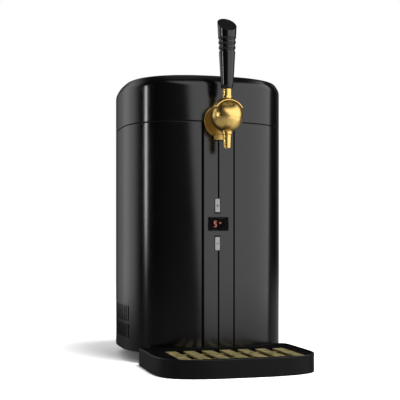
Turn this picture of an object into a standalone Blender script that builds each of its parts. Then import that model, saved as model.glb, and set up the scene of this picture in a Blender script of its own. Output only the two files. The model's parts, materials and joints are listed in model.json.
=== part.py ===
"""Countertop draft beer dispenser: cooled keg housing, hinged lid, ball tap and drip tray."""
import math

import bmesh
import bpy
import numpy as np
from mathutils import Matrix, Vector

# Housing plan and heights
BODY_HALF_WIDTH = 0.1166
BODY_FRONT_REACH = 0.1021
BODY_REAR_REACH = 0.1590
BODY_WIDTH_POWER = 2.46
BODY_FRONT_POWER = 2.39
BODY_REAR_POWER = 2.90
BODY_BASE_Z = 0.0153
LID_TOP_Z = 0.4000
LID_HEIGHT = 0.0647
SEAM_Z = LID_TOP_Z - LID_HEIGHT
SEAM_GAP = 0.0011
WALL = 0.0030
OUTLINE_STEPS = 16
GAP = 0.0004
CHAMFER_DEPTH = 0.0080
CHAMFER_HEIGHT = 0.0092

# Front grooves and vents
GROOVE_WIDTH = 0.0028
GROOVE_DEPTH = 0.0015
GROOVE_PITCH = 0.0221
VENT_SLOT_WIDTH = 0.0042
VENT_PITCH = 0.0080
VENT_FIRST_Y = -0.0330
VENT_COUNT = 11
VENT_LOW_Z = 0.0334
VENT_LOW_HEIGHT = 0.0198
VENT_HIGH_Z = 0.0566
VENT_HIGH_HEIGHT = 0.0225

# Control panel
DISPLAY_WIDTH = 0.0298
DISPLAY_HEIGHT = 0.0192
DISPLAY_DROP = 0.1411
DISPLAY_Z = SEAM_Z - DISPLAY_DROP
DISPLAY_CORNER = 0.0022
DISPLAY_RECESS = 0.0010
DISPLAY_SHIFT = 0.0009
WINDOW_THICKNESS = 0.0016
BUTTON_WIDTH = 0.0070
BUTTON_HEIGHT = 0.0182
BUTTON_SHIFT = 0.0018
PLUS_RISE = 0.0254
MINUS_DROP = 0.0271
PLUS_Z = DISPLAY_Z + PLUS_RISE
MINUS_Z = DISPLAY_Z - MINUS_DROP
BUTTON_PROUD = 0.0005
BUTTON_TRAVEL = 0.0007
BUTTON_CORNER = 0.0008
BUTTON_LIP = 0.0012
BUTTON_REAR = 0.0022
SIGN_LENGTH = 0.0030
SIGN_WIDTH = 0.0006
SIGN_DEPTH = 0.0003
LED_DEPTH = 0.0052
SEGMENT_LENGTH = 0.0044
SEGMENT_WIDTH = 0.0009
SEGMENT_RISE = 0.0003
DIGIT_X = -0.0038
DEGREE_X = 0.0030
DEGREE_Z = 0.0030
DEGREE_RADIUS = 0.0016
SWITCH_SIZE = 0.0060
BOARD_THICKNESS = 0.0016
BOARD_WIDTH = 0.0340
BOARD_HEIGHT = 0.0900
BOARD_MARGIN = 0.0020

# Keg chamber
CHAMBER_FRONT_MARGIN = 0.0211
CHAMBER_SIDE_MARGIN = 0.0276
CHAMBER_REAR_MARGIN = 0.0620
CHAMBER_REACH = (BODY_FRONT_REACH - CHAMBER_FRONT_MARGIN + BODY_REAR_REACH - CHAMBER_REAR_MARGIN) / 2
CHAMBER_RADIUS = min(BODY_HALF_WIDTH - CHAMBER_SIDE_MARGIN, CHAMBER_REACH)
CHAMBER_Y = CHAMBER_FRONT_MARGIN - BODY_FRONT_REACH + CHAMBER_RADIUS
CHAMBER_FLOOR_Z = 0.0700
LINER_WALL = 0.0015
LINER_FLANGE = 0.0050
INSULATION_DROP = 0.0093
INSULATION_TOP_Z = SEAM_Z - INSULATION_DROP
INSULATION_BASE_Z = 0.0520
INSULATION_STEP_Z = 0.0840
INSULATION_AIR_GAP = 0.0150
DECK_THICKNESS = 0.0050
DECK_DROP = 0.0015
GASKET_INSET = 0.0055
GASKET_WIDTH = 0.0035
GASKET_HEIGHT = 0.0034
ROUND_STEPS = 40

# Cooling unit behind the chamber
COOL_Z = 0.1860
COLD_BLOCK_SIZE = 0.0560
COOLING_DEPTH = 0.0550
COLD_BLOCK_REAR_Y = BODY_REAR_REACH - COOLING_DEPTH
PELTIER_SIZE = 0.0400
PELTIER_THICKNESS = 0.0040
SINK_WIDTH = 0.0960
SINK_HEIGHT = 0.1160
SINK_DEPTH = 0.0190
SINK_BASE = 0.0040
FIN_COUNT = 13
FIN_THICKNESS = 0.0015
FAN_SIZE = 0.0800
FAN_DEPTH = 0.0150
FAN_BORE_RADIUS = 0.0380
FAN_CORNER = 0.0050
HUB_RADIUS = 0.0160
HUB_PLATE = 0.0025
SPOKE_WIDTH = 0.0050
SPOKE_COUNT = 4
BLADE_COUNT = 7
BLADE_REACH = 0.0358
BLADE_CHORD = 0.0130
BLADE_THICKNESS = 0.0013
BLADE_PITCH = math.radians(38.0)
SHROUD_THICKNESS = 0.0034
REAR_PANEL_SHARE = 0.4974
REAR_PANEL_HALF_WIDTH = BODY_HALF_WIDTH * REAR_PANEL_SHARE
SHROUD_MARGIN = 0.0060
SHROUD_HALF_WIDTH = REAR_PANEL_HALF_WIDTH - SHROUD_MARGIN
REAR_PANEL_LOW_Z = 0.1120
REAR_PANEL_HIGH_Z = 0.2600
REAR_SLOT_WIDTH = 0.0038
REAR_SLOT_PITCH = 0.0090
REAR_SLOT_COUNT = 11
REAR_SLOT_MARGIN = 0.0200
SCREW_X = SHROUD_HALF_WIDTH - SHROUD_MARGIN
SCREW_MARGIN = 0.0090
SCREW_HEAD_RADIUS = 0.0031
SCREW_RADIUS = 0.0014
SCREW_HEAD_HEIGHT = 0.0020
SCREW_SLOT = 0.0008
CAVITY_SIDE_MARGIN = 0.0020
CAVITY_HALF_WIDTH = REAR_PANEL_HALF_WIDTH + CAVITY_SIDE_MARGIN
CAVITY_MARGIN = 0.0030
CAVITY_FRONT_Y = CHAMBER_Y + CHAMBER_RADIUS - CAVITY_MARGIN

# Mains inlet, rocker and power supply
INLET_HALF_WIDTH = 0.0135
INLET_LOW_Z = 0.0440
INLET_HIGH_Z = 0.0950
INLET_DEPTH = 0.0190
INLET_FLANGE = 0.0030
INLET_FLANGE_THICKNESS = 0.0020
INLET_CORNER = 0.0025
SOCKET_WIDTH = 0.0226
SOCKET_HEIGHT = 0.0160
SOCKET_DEPTH = 0.0150
SOCKET_Z = 0.0570
PIN_SPREAD = 0.0070
PIN_RAISE = 0.0020
PIN_WIDTH = 0.0020
PIN_HEIGHT = 0.0045
PIN_LENGTH = 0.0110
PIN_BRIDGE = 0.0012
ROCKER_Z = 0.0820
ROCKER_WIDTH = 0.0120
ROCKER_HEIGHT = 0.0180
ROCKER_BACK = 0.0050
ROCKER_ANGLE = math.radians(8.0)
ROCKER_POCKET = 0.0100
SUPPLY_LENGTH = 0.0900
SUPPLY_WIDTH = 0.0600
SUPPLY_HEIGHT = 0.0280
SUPPLY_Y = 0.0400
SUPPLY_CORNER = 0.0030

# Base and feet
BASE_LIFT = 0.0020
BASE_THICKNESS = 0.0030
FOOT_SIDE_MARGIN = 0.0446
FOOT_FRONT_MARGIN = 0.0541
FOOT_REAR_MARGIN = 0.0630
FOOT_X = BODY_HALF_WIDTH - FOOT_SIDE_MARGIN
FOOT_FRONT_Y = FOOT_FRONT_MARGIN - BODY_FRONT_REACH
FOOT_REAR_Y = BODY_REAR_REACH - FOOT_REAR_MARGIN
FOOT_RADIUS = 0.0110
FOOT_NECK_RADIUS = 0.0037
FOOT_HEAD_RADIUS = 0.0055
FOOT_HEAD_HEIGHT = 0.0020
FOOT_EDGE = 0.0015
INTAKE_WIDTH = 0.0040
INTAKE_LENGTH = 0.0500
INTAKE_PITCH = 0.0100
INTAKE_COUNT = 7
INTAKE_Y = -0.0200

# Tap
TAP_BALL_REACH = 0.0375
TAP_BALL_RISE = 0.0026
TAP_BALL_RADIUS = 0.0213
TAP_CAVITY_RADIUS = 0.0125
TAP_NECK_RADIUS = 0.0105
FLANGE_RADIUS = 0.0222
FLANGE_THICKNESS = 0.0036
FLANGE_DISH = 0.0007
FLANGE_STANDOFF = 0.0004
FLANGE_LIP = 0.0018
LUG_HALF_WIDTH = 0.0094
LUG_DEPTH = 0.0080
LUG_DROP = 0.0040
LUG_EDGE = 0.0012
SHANK_RADIUS = 0.0075
SHANK_BORE = 0.0034
SHANK_REAR = 0.0158
SHANK_INSERT = 0.0060
NUT_RADIUS = 0.0122
NUT_LENGTH = 0.0052
BRACKET_HALF_WIDTH = 0.0155
BRACKET_DROP = 0.0333
BRACKET_RISE = 0.0152
BRACKET_LOW_Z = SEAM_Z - BRACKET_DROP
BRACKET_HIGH_Z = SEAM_Z + BRACKET_RISE
BRACKET_THICKNESS = 0.0024
BRACKET_OFFSET = 0.0013
COLLAR_RADIUS = 0.0062
COLLAR_HEIGHT = 0.0030
SPOUT_TOP_RADIUS = 0.0058
SPOUT_TIP_RADIUS = 0.0048
SPOUT_BORE = 0.0030
SPOUT_DROP = 0.0405
SPOUT_TIP_Z = SEAM_Z - SPOUT_DROP
SPOUT_PLUG_RADIUS = 0.0042
SPOUT_PLUG_LENGTH = 0.0060
SPOUT_EDGE = 0.0005
HOOD_CLEARANCE = 0.0014
HOOD_THICKNESS = 0.0014
HOOD_FRONT = 0.0118
HOOD_REAR = 0.0150
HOOD_LOW = 0.0122
NECK_FOOT_RADIUS = 0.0070
NECK_RADIUS = 0.0057
NECK_FLARE = 0.0030
NECK_RISE = 0.0401
NECK_TOP_Z = SEAM_Z + NECK_RISE
STEM_RADIUS = 0.0026
STEM_EYE_RADIUS = 0.0036
STEM_EYE_WIDTH = 0.0060
STEM_FINGER = 0.0062
STUD_RADIUS = 0.0030
STUD_LENGTH = 0.0120
LEVER_PIN_RADIUS = 0.0016
LEVER_PIN_HALF = 0.0150
LEVER_SWING = math.radians(34.0)
PLUNGER_RADIUS = 0.0028
PLUNGER_HEAD_RADIUS = 0.0042
PLUNGER_HEAD_LENGTH = 0.0030
PLUNGER_LENGTH = 0.0260
HANDLE_BASE_RADIUS = 0.0073
HANDLE_FOOT_RADIUS = 0.0082
HANDLE_FOOT_HEIGHT = 0.0050
HANDLE_TOP_RADIUS = 0.0126
HANDLE_RISE = 0.1364
HANDLE_TOP_Z = SEAM_Z + HANDLE_RISE
HANDLE_CUT_ANGLE = math.radians(39.2)
NOTCH_RISE = 0.0905
NOTCH_LOW_Z = SEAM_Z + NOTCH_RISE
NOTCH_PITCH = 0.0070
NOTCH_COUNT = 3
NOTCH_DEPTH = 0.0012
NOTCH_HALF_WIDTH = 0.0015

# Beer line and keg coupler
HOSE_RADIUS = 0.0035
HOSE_TRACK_MARGIN = 0.0088
HOSE_TRACK_RADIUS = CHAMBER_RADIUS + HOSE_TRACK_MARGIN
HOSE_LIFT = 0.0002
ELBOW_RADIUS = 0.0062
ELBOW_LENGTH = 0.0062
ELBOW_BARB_RADIUS = 0.0026
ELBOW_BARB_REACH = 0.0125
COUPLER_MARGIN = 0.02393
COUPLER_ANGLE = math.radians(129.61)
COUPLER_X = (CHAMBER_RADIUS + COUPLER_MARGIN) * math.cos(COUPLER_ANGLE)
COUPLER_Y = CHAMBER_Y + (CHAMBER_RADIUS + COUPLER_MARGIN) * math.sin(COUPLER_ANGLE)
COUPLER_RADIUS = 0.0105
COUPLER_HEIGHT = 0.0210
COUPLER_STEM_RADIUS = 0.0072
COUPLER_BARB_RADIUS = 0.0030
COUPLER_BARB_LENGTH = 0.0060
COUPLER_EDGE = 0.0012

# Lid lining and hinge
LINING_WALL = 0.0080
LINING_RISE = 0.0025
LINING_DROP = 0.0132
LINING_LOW_Z = SEAM_Z + LINING_RISE
LINING_TOP_Z = LID_TOP_Z - LINING_DROP
LINING_CEILING = 0.0120
LINING_NOTCH_HALF = 0.0270
LINING_NOTCH_RISE = 0.0195
LINING_NOTCH_Z = SEAM_Z + LINING_NOTCH_RISE
HINGE_OFFSET = 0.0056
HINGE_BARREL_RADIUS = 0.0046
HINGE_PIN_RADIUS = 0.0016
HINGE_HALF_INNER = 0.0120
HINGE_HALF_OUTER = 0.0220
HINGE_PLATE = 0.0026
HINGE_PLATE_DROP = 0.0370
HINGE_LEAF_RISE = 0.0250
HINGE_EDGE = 0.0008
LID_OPEN_ANGLE = math.radians(82.0)

# Drip tray and grille
TRAY_SIDE_MARGIN = 0.0081
TRAY_HALF_WIDTH = BODY_HALF_WIDTH - TRAY_SIDE_MARGIN
TRAY_SETBACK = 0.0128
TRAY_SIDE_Y = TRAY_SETBACK - BODY_FRONT_REACH
TRAY_FRONT_REACH = 0.1371
TRAY_WIDTH_POWER = 2.98
TRAY_FRONT_POWER = 6.94
TRAY_REAR_SETBACK = 0.0271
TRAY_REAR_Y = TRAY_REAR_SETBACK - BODY_FRONT_REACH
TRAY_REAR_CORNER = 0.0100
TRAY_HEIGHT = 0.0242
TRAY_WALL = 0.0030
TRAY_FLOOR = 0.0030
TRAY_EDGE = 0.0006
TRAY_BODY_GAP = 0.0008
TONGUE_HALF_WIDTH = 0.0450
TONGUE_LENGTH = 0.0300
TONGUE_LOW_Z = 0.0040
TONGUE_HIGH_Z = 0.0147
POST_RADIUS = 0.0050
POST_MARGIN = 0.0150
POST_X = TRAY_HALF_WIDTH - POST_MARGIN
POST_FRONT_Y = -0.1700
POST_REAR_Y = -0.1020
GRILLE_TOP_Z = 0.0228
GRILLE_THICKNESS = 0.0020
BAR_COUNT = 7
BAR_PITCH_SHARE = 0.2332
BAR_WIDTH_SHARE = 0.5930
BAR_PITCH = TRAY_HALF_WIDTH * BAR_PITCH_SHARE
BAR_WIDTH = BAR_PITCH * BAR_WIDTH_SHARE
BAR_FRONT_Y = -0.2055
BAR_REAR_Y = -0.1205
BAR_SHIFT = 0.0025
RAIL_WIDTH = 0.0060
RAIL_HEIGHT = 0.0030
RAIL_MARGIN = 0.0140
RAIL_REACH = 0.0050

HINGE_Y = BODY_REAR_REACH + HINGE_OFFSET
FRONT_EXTENT = TRAY_FRONT_REACH - TRAY_SIDE_Y
REAR_EXTENT = HINGE_Y + HINGE_BARREL_RADIUS
AXIS_Y = (FRONT_EXTENT - REAR_EXTENT) / 2
FRONT_Y = -BODY_FRONT_REACH
BALL_Y = FRONT_Y - TAP_BALL_REACH
BALL_Z = SEAM_Z + TAP_BALL_RISE
SHELL_TOP_Z = SEAM_Z - SEAM_GAP / 2
LID_LOW_Z = SEAM_Z + SEAM_GAP / 2
DECK_TOP_Z = SHELL_TOP_Z - DECK_DROP
BOARD_Y = FRONT_Y + WALL + LED_DEPTH + GAP + GAP

MATERIALS = {
    "gloss_black": ((0.012, 0.012, 0.013), 0.10, 0.0),
    "satin_black": ((0.022, 0.022, 0.023), 0.38, 0.0),
    "matt_black": ((0.018, 0.018, 0.018), 0.60, 0.0),
    "smoked_glass": ((0.008, 0.008, 0.009), 0.06, 0.0),
    "gold": ((0.62, 0.43, 0.13), 0.26, 1.0),
    "steel": ((0.58, 0.58, 0.57), 0.28, 1.0),
    "aluminium": ((0.72, 0.73, 0.74), 0.36, 1.0),
    "liner_grey": ((0.42, 0.43, 0.44), 0.42, 0.0),
    "button_grey": ((0.46, 0.46, 0.46), 0.40, 0.0),
    "rubber": ((0.020, 0.020, 0.020), 0.82, 0.0),
    "foam": ((0.74, 0.72, 0.64), 0.90, 0.0),
    "ceramic": ((0.80, 0.79, 0.75), 0.55, 0.0),
    "board_green": ((0.02, 0.13, 0.05), 0.45, 0.0),
    "led_red": ((0.72, 0.05, 0.03), 0.35, 0.0),
    "hose": ((0.70, 0.71, 0.69), 0.30, 0.0),
    "brass": ((0.66, 0.50, 0.24), 0.30, 1.0),
}


def clear_scene():
    """Removes every object that the scene starts with."""
    for item in list(bpy.data.objects):
        bpy.data.objects.remove(item, do_unlink=True)


def make_materials():
    """Creates the named Principled materials and returns them by name."""
    made = {}
    for name, (colour, roughness, metallic) in MATERIALS.items():
        material = bpy.data.materials.new(name)
        material.use_nodes = True
        shader = material.node_tree.nodes["Principled BSDF"]
        shader.inputs["Base Color"].default_value = (*colour, 1.0)
        shader.inputs["Roughness"].default_value = roughness
        shader.inputs["Metallic"].default_value = metallic
        material.diffuse_color = (*colour, 1.0)
        made[name] = material
    return made


clear_scene()
MADE = make_materials()
PARTS = bpy.data.collections.new("draft_beer_dispenser")
CUTTERS = bpy.data.collections.new("cutters")
bpy.context.scene.collection.children.link(PARTS)
bpy.context.scene.collection.children.link(CUTTERS)


def finish_mesh(name, bm, origin, material, smooth):
    """Turns a bmesh into an object whose origin lies at the given point of the housing frame."""
    base = Vector(origin)
    bmesh.ops.translate(bm, verts=bm.verts, vec=-base)
    bmesh.ops.recalc_face_normals(bm, faces=bm.faces)
    mesh = bpy.data.meshes.new(name)
    bm.to_mesh(mesh)
    bm.free()
    item = bpy.data.objects.new(name, mesh)
    item.location = base + Vector((0, AXIS_Y, 0))
    if material is None:
        CUTTERS.objects.link(item)
        item.hide_render = True
        item.display_type = "WIRE"
    else:
        PARTS.objects.link(item)
        mesh.materials.append(MADE[material])
    if smooth:
        mesh.shade_smooth()
        mesh.set_sharp_from_angle(angle=math.radians(smooth))
    return item


def loft(name, rings, material=None, origin=(0, 0, 0), closed=False, smooth=40.0):
    """Skins rings of equal point count; closed rings join last to first, open ones get end caps."""
    bm = bmesh.new()
    rows = [[bm.verts.new(point) for point in ring] for ring in rings]
    count = len(rows[0])
    pairs = list(zip(rows, rows[1:]))
    if closed:
        pairs.append((rows[-1], rows[0]))
    for low, high in pairs:
        for index in range(count):
            after = (index + 1) % count
            bm.faces.new((low[index], low[after], high[after], high[index]))
    if not closed:
        bm.faces.new(rows[0])
        bm.faces.new(rows[-1])
    return finish_mesh(name, bm, origin, material, smooth)


def lathe(name, profile, centre, axis, material=None, origin=None, steps=24, smooth=40.0):
    """Turns a closed profile of (radius, distance) pairs about the axis through the centre."""
    bm = bmesh.new()
    turn = Vector((0, 0, 1)).rotation_difference(Vector(axis)).to_matrix()
    middle = Vector(centre)
    rows = []
    for radius, along in profile:
        if radius == 0:
            rows.append([bm.verts.new(middle + turn @ Vector((0, 0, along)))])
            continue
        row = []
        for index in range(steps):
            angle = math.tau * index / steps
            spot = Vector((radius * math.cos(angle), radius * math.sin(angle), along))
            row.append(bm.verts.new(middle + turn @ spot))
        rows.append(row)
    pairs = list(zip(rows, rows[1:]))
    if profile[0][0] != 0 or profile[-1][0] != 0:
        pairs.append((rows[-1], rows[0]))
    for low, high in pairs:
        if len(low) == 1 and len(high) == 1:
            continue
        for index in range(steps):
            after = (index + 1) % steps
            corners = []
            for row, spot in ((low, index), (low, after), (high, after), (high, index)):
                vert = row[0] if len(row) == 1 else row[spot]
                if vert not in corners:
                    corners.append(vert)
            bm.faces.new(corners)
    return finish_mesh(name, bm, origin or centre, material, smooth)


def rod(name, radius, start, end, material=None, origin=None, steps=18):
    """Makes a plain cylinder between two points."""
    low = Vector(start)
    span = Vector(end) - low
    profile = [(0, 0), (radius, 0), (radius, span.length), (0, span.length)]
    return lathe(name, profile, low, span.normalized(), material, origin or start, steps)


def block(name, low, high, material=None, origin=None, edge=0, turn=None, segments=2):
    """Makes a box between two corners, turned about its origin, with optional rounded edges."""
    bm = bmesh.new()
    lows = Vector(low)
    highs = Vector(high)
    middle = (lows + highs) / 2
    size = highs - lows
    bmesh.ops.create_cube(bm, size=1.0)
    bmesh.ops.scale(bm, vec=size, verts=bm.verts)
    bmesh.ops.translate(bm, verts=bm.verts, vec=middle)
    base = Vector(origin) if origin is not None else middle
    if turn is not None:
        bmesh.ops.rotate(bm, verts=bm.verts, cent=base, matrix=turn)
    item = finish_mesh(name, bm, base, material, 35.0 if edge else 0)
    if edge:
        bevel = item.modifiers.new("edge", "BEVEL")
        bevel.width = edge
        bevel.segments = segments
        bevel.limit_method = "ANGLE"
        bevel.angle_limit = math.radians(40.0)
        bevel.harden_normals = False
    return item


def rounded(half_x, half_z, corner, centre_x, centre_z, steps=3):
    """Gives the points of a rounded rectangle in the front plane."""
    points = []
    signs = ((1, 1, 0), (-1, 1, 1), (-1, -1, 2), (1, -1, 3))
    for sign_x, sign_z, quarter in signs:
        for index in range(steps + 1):
            angle = math.pi / 2 * (quarter + index / steps)
            x = centre_x + sign_x * (half_x - corner) + corner * math.cos(angle)
            z = centre_z + sign_z * (half_z - corner) + corner * math.sin(angle)
            points.append((x, z))
    return points


def plate(name, half_x, half_z, corner, centre_x, centre_z, near, far, material=None, origin=None):
    """Makes a rounded rectangular plate that is thick along the front-to-back direction."""
    flat = rounded(half_x, half_z, corner, centre_x, centre_z)
    rings = [[(x, level, z) for x, z in flat] for level in (near, far)]
    base = origin or (centre_x, (near + far) / 2, centre_z)
    return loft(name, rings, material, base)


def cut(target, *cutters, operation="DIFFERENCE"):
    """Adds one exact Boolean for each cutter."""
    for cutter in cutters:
        step = target.modifiers.new(cutter.name, "BOOLEAN")
        step.operation = operation
        step.solver = "EXACT"
        step.object = cutter
    return target


def join(target, *others):
    """Unites other closed solids with the target."""
    return cut(target, *others, operation="UNION")


def merged(name, items):
    """Puts separate cutter solids that do not touch into one cutter object."""
    bm = bmesh.new()
    for item in items:
        shift = Matrix.Translation(item.location)
        mesh = item.data.copy()
        mesh.transform(shift)
        bm.from_mesh(mesh)
        bpy.data.meshes.remove(mesh)
        bpy.data.objects.remove(item, do_unlink=True)
    bmesh.ops.translate(bm, verts=bm.verts, vec=(0, -AXIS_Y, 0))
    return finish_mesh(name, bm, (0, 0, 0), None, 0)


def superellipse(half_width, reach, width_power, reach_power, steps):
    """Gives a quarter outline from the end of the reach to the side."""
    angle = np.linspace(0, math.pi / 2, steps + 1)
    across = half_width * np.sin(angle) ** (2 / width_power)
    along = reach * np.cos(angle) ** (2 / reach_power)
    return np.column_stack((across, along))


def even_outline(points, count):
    """Respaces a closed outline to a given number of points at equal distances."""
    ring = np.vstack((points, points[:1]))
    travel = np.concatenate(([0], np.cumsum(np.linalg.norm(np.diff(ring, axis=0), axis=1))))
    wanted = np.linspace(0, travel[-1], count + 1)[:-1]
    return np.column_stack((np.interp(wanted, travel, ring[:, 0]), np.interp(wanted, travel, ring[:, 1])))


def inset_outline(points, inset):
    """Moves a closed outline, listed anticlockwise, inwards along its normals."""
    ahead = np.roll(points, -1, axis=0) - np.roll(points, 1, axis=0)
    ahead /= np.linalg.norm(ahead, axis=1)[:, None]
    normal = np.column_stack((-ahead[:, 1], ahead[:, 0]))
    return points + normal * inset


def body_outline():
    """Gives the housing plan anticlockwise from the front centre."""
    fine = OUTLINE_STEPS * OUTLINE_STEPS
    front = superellipse(BODY_HALF_WIDTH, BODY_FRONT_REACH, BODY_WIDTH_POWER, BODY_FRONT_POWER, fine)
    rear = superellipse(BODY_HALF_WIDTH, BODY_REAR_REACH, BODY_WIDTH_POWER, BODY_REAR_POWER, fine)
    right = np.vstack((front * (1, -1), rear[::-1][1:]))
    left = right[::-1][1:-1] * (-1, 1)
    return even_outline(np.vstack((right, left)), OUTLINE_STEPS * 4)


def tray_outline():
    """Gives the drip tray plan anticlockwise from the front centre, before the housing is cut out."""
    fine = OUTLINE_STEPS * OUTLINE_STEPS
    front = superellipse(TRAY_HALF_WIDTH, TRAY_FRONT_REACH, TRAY_WIDTH_POWER, TRAY_FRONT_POWER, fine)
    front = front * (1, -1) + (0, TRAY_SIDE_Y)
    angle = np.linspace(0, math.pi / 2, OUTLINE_STEPS)
    corner_x = TRAY_HALF_WIDTH - TRAY_REAR_CORNER + TRAY_REAR_CORNER * np.cos(angle)
    corner_y = TRAY_REAR_Y - TRAY_REAR_CORNER + TRAY_REAR_CORNER * np.sin(angle)
    right = np.vstack((front, np.column_stack((corner_x, corner_y)), ((0, TRAY_REAR_Y),)))
    left = right[::-1][1:-1] * (-1, 1)
    return even_outline(np.vstack((right, left)), OUTLINE_STEPS * 4)


BODY_PLAN = body_outline()
TRAY_PLAN = tray_outline()


def body_ring(inset, level):
    """Gives the housing outline moved inwards, at one height."""
    return [(x, y, level) for x, y in inset_outline(BODY_PLAN, inset)]


def tray_ring(inset, level):
    """Gives the tray outline moved inwards, at one height."""
    return [(x, y, level) for x, y in inset_outline(TRAY_PLAN, inset)]


def front_surface_y(x):
    """Gives the outer front face of the housing at a sideways position."""
    share = abs(x) / BODY_HALF_WIDTH
    return -BODY_FRONT_REACH * (1 - share ** BODY_WIDTH_POWER) ** (1 / BODY_FRONT_POWER)


def rear_surface_y(x):
    """Gives the outer rear face of the housing at a sideways position."""
    share = abs(x) / BODY_HALF_WIDTH
    return BODY_REAR_REACH * (1 - share ** BODY_WIDTH_POWER) ** (1 / BODY_REAR_POWER)


# Shared cutters
FAR_FRONT_Y = FRONT_Y - TAP_BALL_REACH
shank_way = rod(
    "cut_shank_way",
    SHANK_RADIUS + GAP + GAP,
    (0, FAR_FRONT_Y, SEAM_Z),
    (0, FRONT_Y + WALL + WALL, SEAM_Z),
)


def make_outer_shell():
    """Glossy housing wall with front grooves, side vents and openings."""
    rings = [
        body_ring(0, BODY_BASE_Z),
        body_ring(0, SHELL_TOP_Z),
        body_ring(WALL, SHELL_TOP_Z),
        body_ring(WALL, BODY_BASE_Z),
    ]
    shell = loft("outer_shell", rings, "gloss_black", closed=True)
    grooves = []
    spans = [(-GROOVE_PITCH, 0, SEAM_Z), (GROOVE_PITCH, 0, SEAM_Z)]
    spans.append((0, PLUS_Z + BUTTON_HEIGHT / 2, SEAM_Z))
    spans.append((0, 0, MINUS_Z - BUTTON_HEIGHT / 2))
    for x, low, high in spans:
        low_corner = (x - GROOVE_WIDTH / 2, FAR_FRONT_Y, low)
        high_corner = (x + GROOVE_WIDTH / 2, front_surface_y(x) + GROOVE_DEPTH, high)
        grooves.append(block("groove", low_corner, high_corner))
    vents = []
    for side in (-1, 1):
        for index in range(VENT_COUNT):
            y = VENT_FIRST_Y + index * VENT_PITCH
            for low, height in ((VENT_LOW_Z, VENT_LOW_HEIGHT), (VENT_HIGH_Z, VENT_HIGH_HEIGHT)):
                inner = side * (BODY_HALF_WIDTH - INSULATION_AIR_GAP)
                outer = side * (BODY_HALF_WIDTH + WALL)
                near = (min(inner, outer), y - VENT_SLOT_WIDTH / 2, low)
                far = (max(inner, outer), y + VENT_SLOT_WIDTH / 2, low + height)
                vents.append(block("vent", near, far))
    openings = []
    deep = FRONT_Y + WALL + WALL
    openings.append(plate("hole", DISPLAY_WIDTH / 2, DISPLAY_HEIGHT / 2, DISPLAY_CORNER,
                          -DISPLAY_SHIFT, DISPLAY_Z, FAR_FRONT_Y, deep))
    for level in (PLUS_Z, MINUS_Z):
        openings.append(plate("hole", BUTTON_WIDTH / 2 + GAP, BUTTON_HEIGHT / 2 + GAP, BUTTON_CORNER + GAP,
                              -BUTTON_SHIFT, level, FAR_FRONT_Y, deep))
    inlet_z = (INLET_LOW_Z + INLET_HIGH_Z) / 2
    inlet_half = (INLET_HIGH_Z - INLET_LOW_Z) / 2
    openings.append(plate("hole", INLET_HALF_WIDTH + GAP, inlet_half + GAP, INLET_CORNER + GAP,
                          0, inlet_z, BODY_REAR_REACH - INLET_DEPTH, REAR_EXTENT))
    panel_z = (REAR_PANEL_LOW_Z + REAR_PANEL_HIGH_Z) / 2
    panel_half = (REAR_PANEL_HIGH_Z - REAR_PANEL_LOW_Z) / 2
    openings.append(plate("hole", REAR_PANEL_HALF_WIDTH + GAP, panel_half + GAP, FAN_CORNER + GAP,
                          0, panel_z, COLD_BLOCK_REAR_Y, REAR_EXTENT))
    cut(shell, merged("cut_grooves", grooves), merged("cut_vents", vents), merged("cut_openings", openings))
    cut(shell, shank_way)
    return shell


def make_base():
    """Base plate with its air intake and four rubber feet."""
    low = BODY_BASE_Z + BASE_LIFT
    high = low + BASE_THICKNESS
    base = loft("base_plate", [body_ring(WALL + GAP, low), body_ring(WALL + GAP, high)], "matt_black")
    holes = []
    for index in range(INTAKE_COUNT):
        x = (index - (INTAKE_COUNT - 1) / 2) * INTAKE_PITCH
        near = (x - INTAKE_WIDTH / 2, INTAKE_Y - INTAKE_LENGTH / 2, 0)
        far = (x + INTAKE_WIDTH / 2, INTAKE_Y + INTAKE_LENGTH / 2, SEAM_Z)
        holes.append(block("intake", near, far))
    names = ("foot_front_left", "foot_front_right", "foot_rear_left", "foot_rear_right")
    spots = [(-FOOT_X, FOOT_FRONT_Y), (FOOT_X, FOOT_FRONT_Y), (-FOOT_X, FOOT_REAR_Y), (FOOT_X, FOOT_REAR_Y)]
    for name, (x, y) in zip(names, spots):
        holes.append(rod("foot_hole", FOOT_NECK_RADIUS + GAP, (x, y, 0), (x, y, SEAM_Z), steps=16))
        profile = [
            (0, 0),
            (FOOT_RADIUS - FOOT_EDGE, 0),
            (FOOT_RADIUS, FOOT_EDGE),
            (FOOT_RADIUS, low - GAP),
            (FOOT_NECK_RADIUS, low - GAP),
            (FOOT_NECK_RADIUS, high + GAP),
            (FOOT_HEAD_RADIUS, high + GAP),
            (FOOT_NECK_RADIUS, high + GAP + FOOT_HEAD_HEIGHT),
            (0, high + GAP + FOOT_HEAD_HEIGHT),
        ]
        lathe(name, profile, (x, y, 0), (0, 0, 1), "rubber", steps=14)
    cut(base, merged("cut_base", holes))
    supply_low = high + GAP
    near = (-SUPPLY_LENGTH / 2, SUPPLY_Y - SUPPLY_WIDTH / 2, supply_low)
    far = (SUPPLY_LENGTH / 2, SUPPLY_Y + SUPPLY_WIDTH / 2, supply_low + SUPPLY_HEIGHT)
    block("power_supply", near, far, "matt_black", edge=SUPPLY_CORNER, segments=1)


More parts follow.
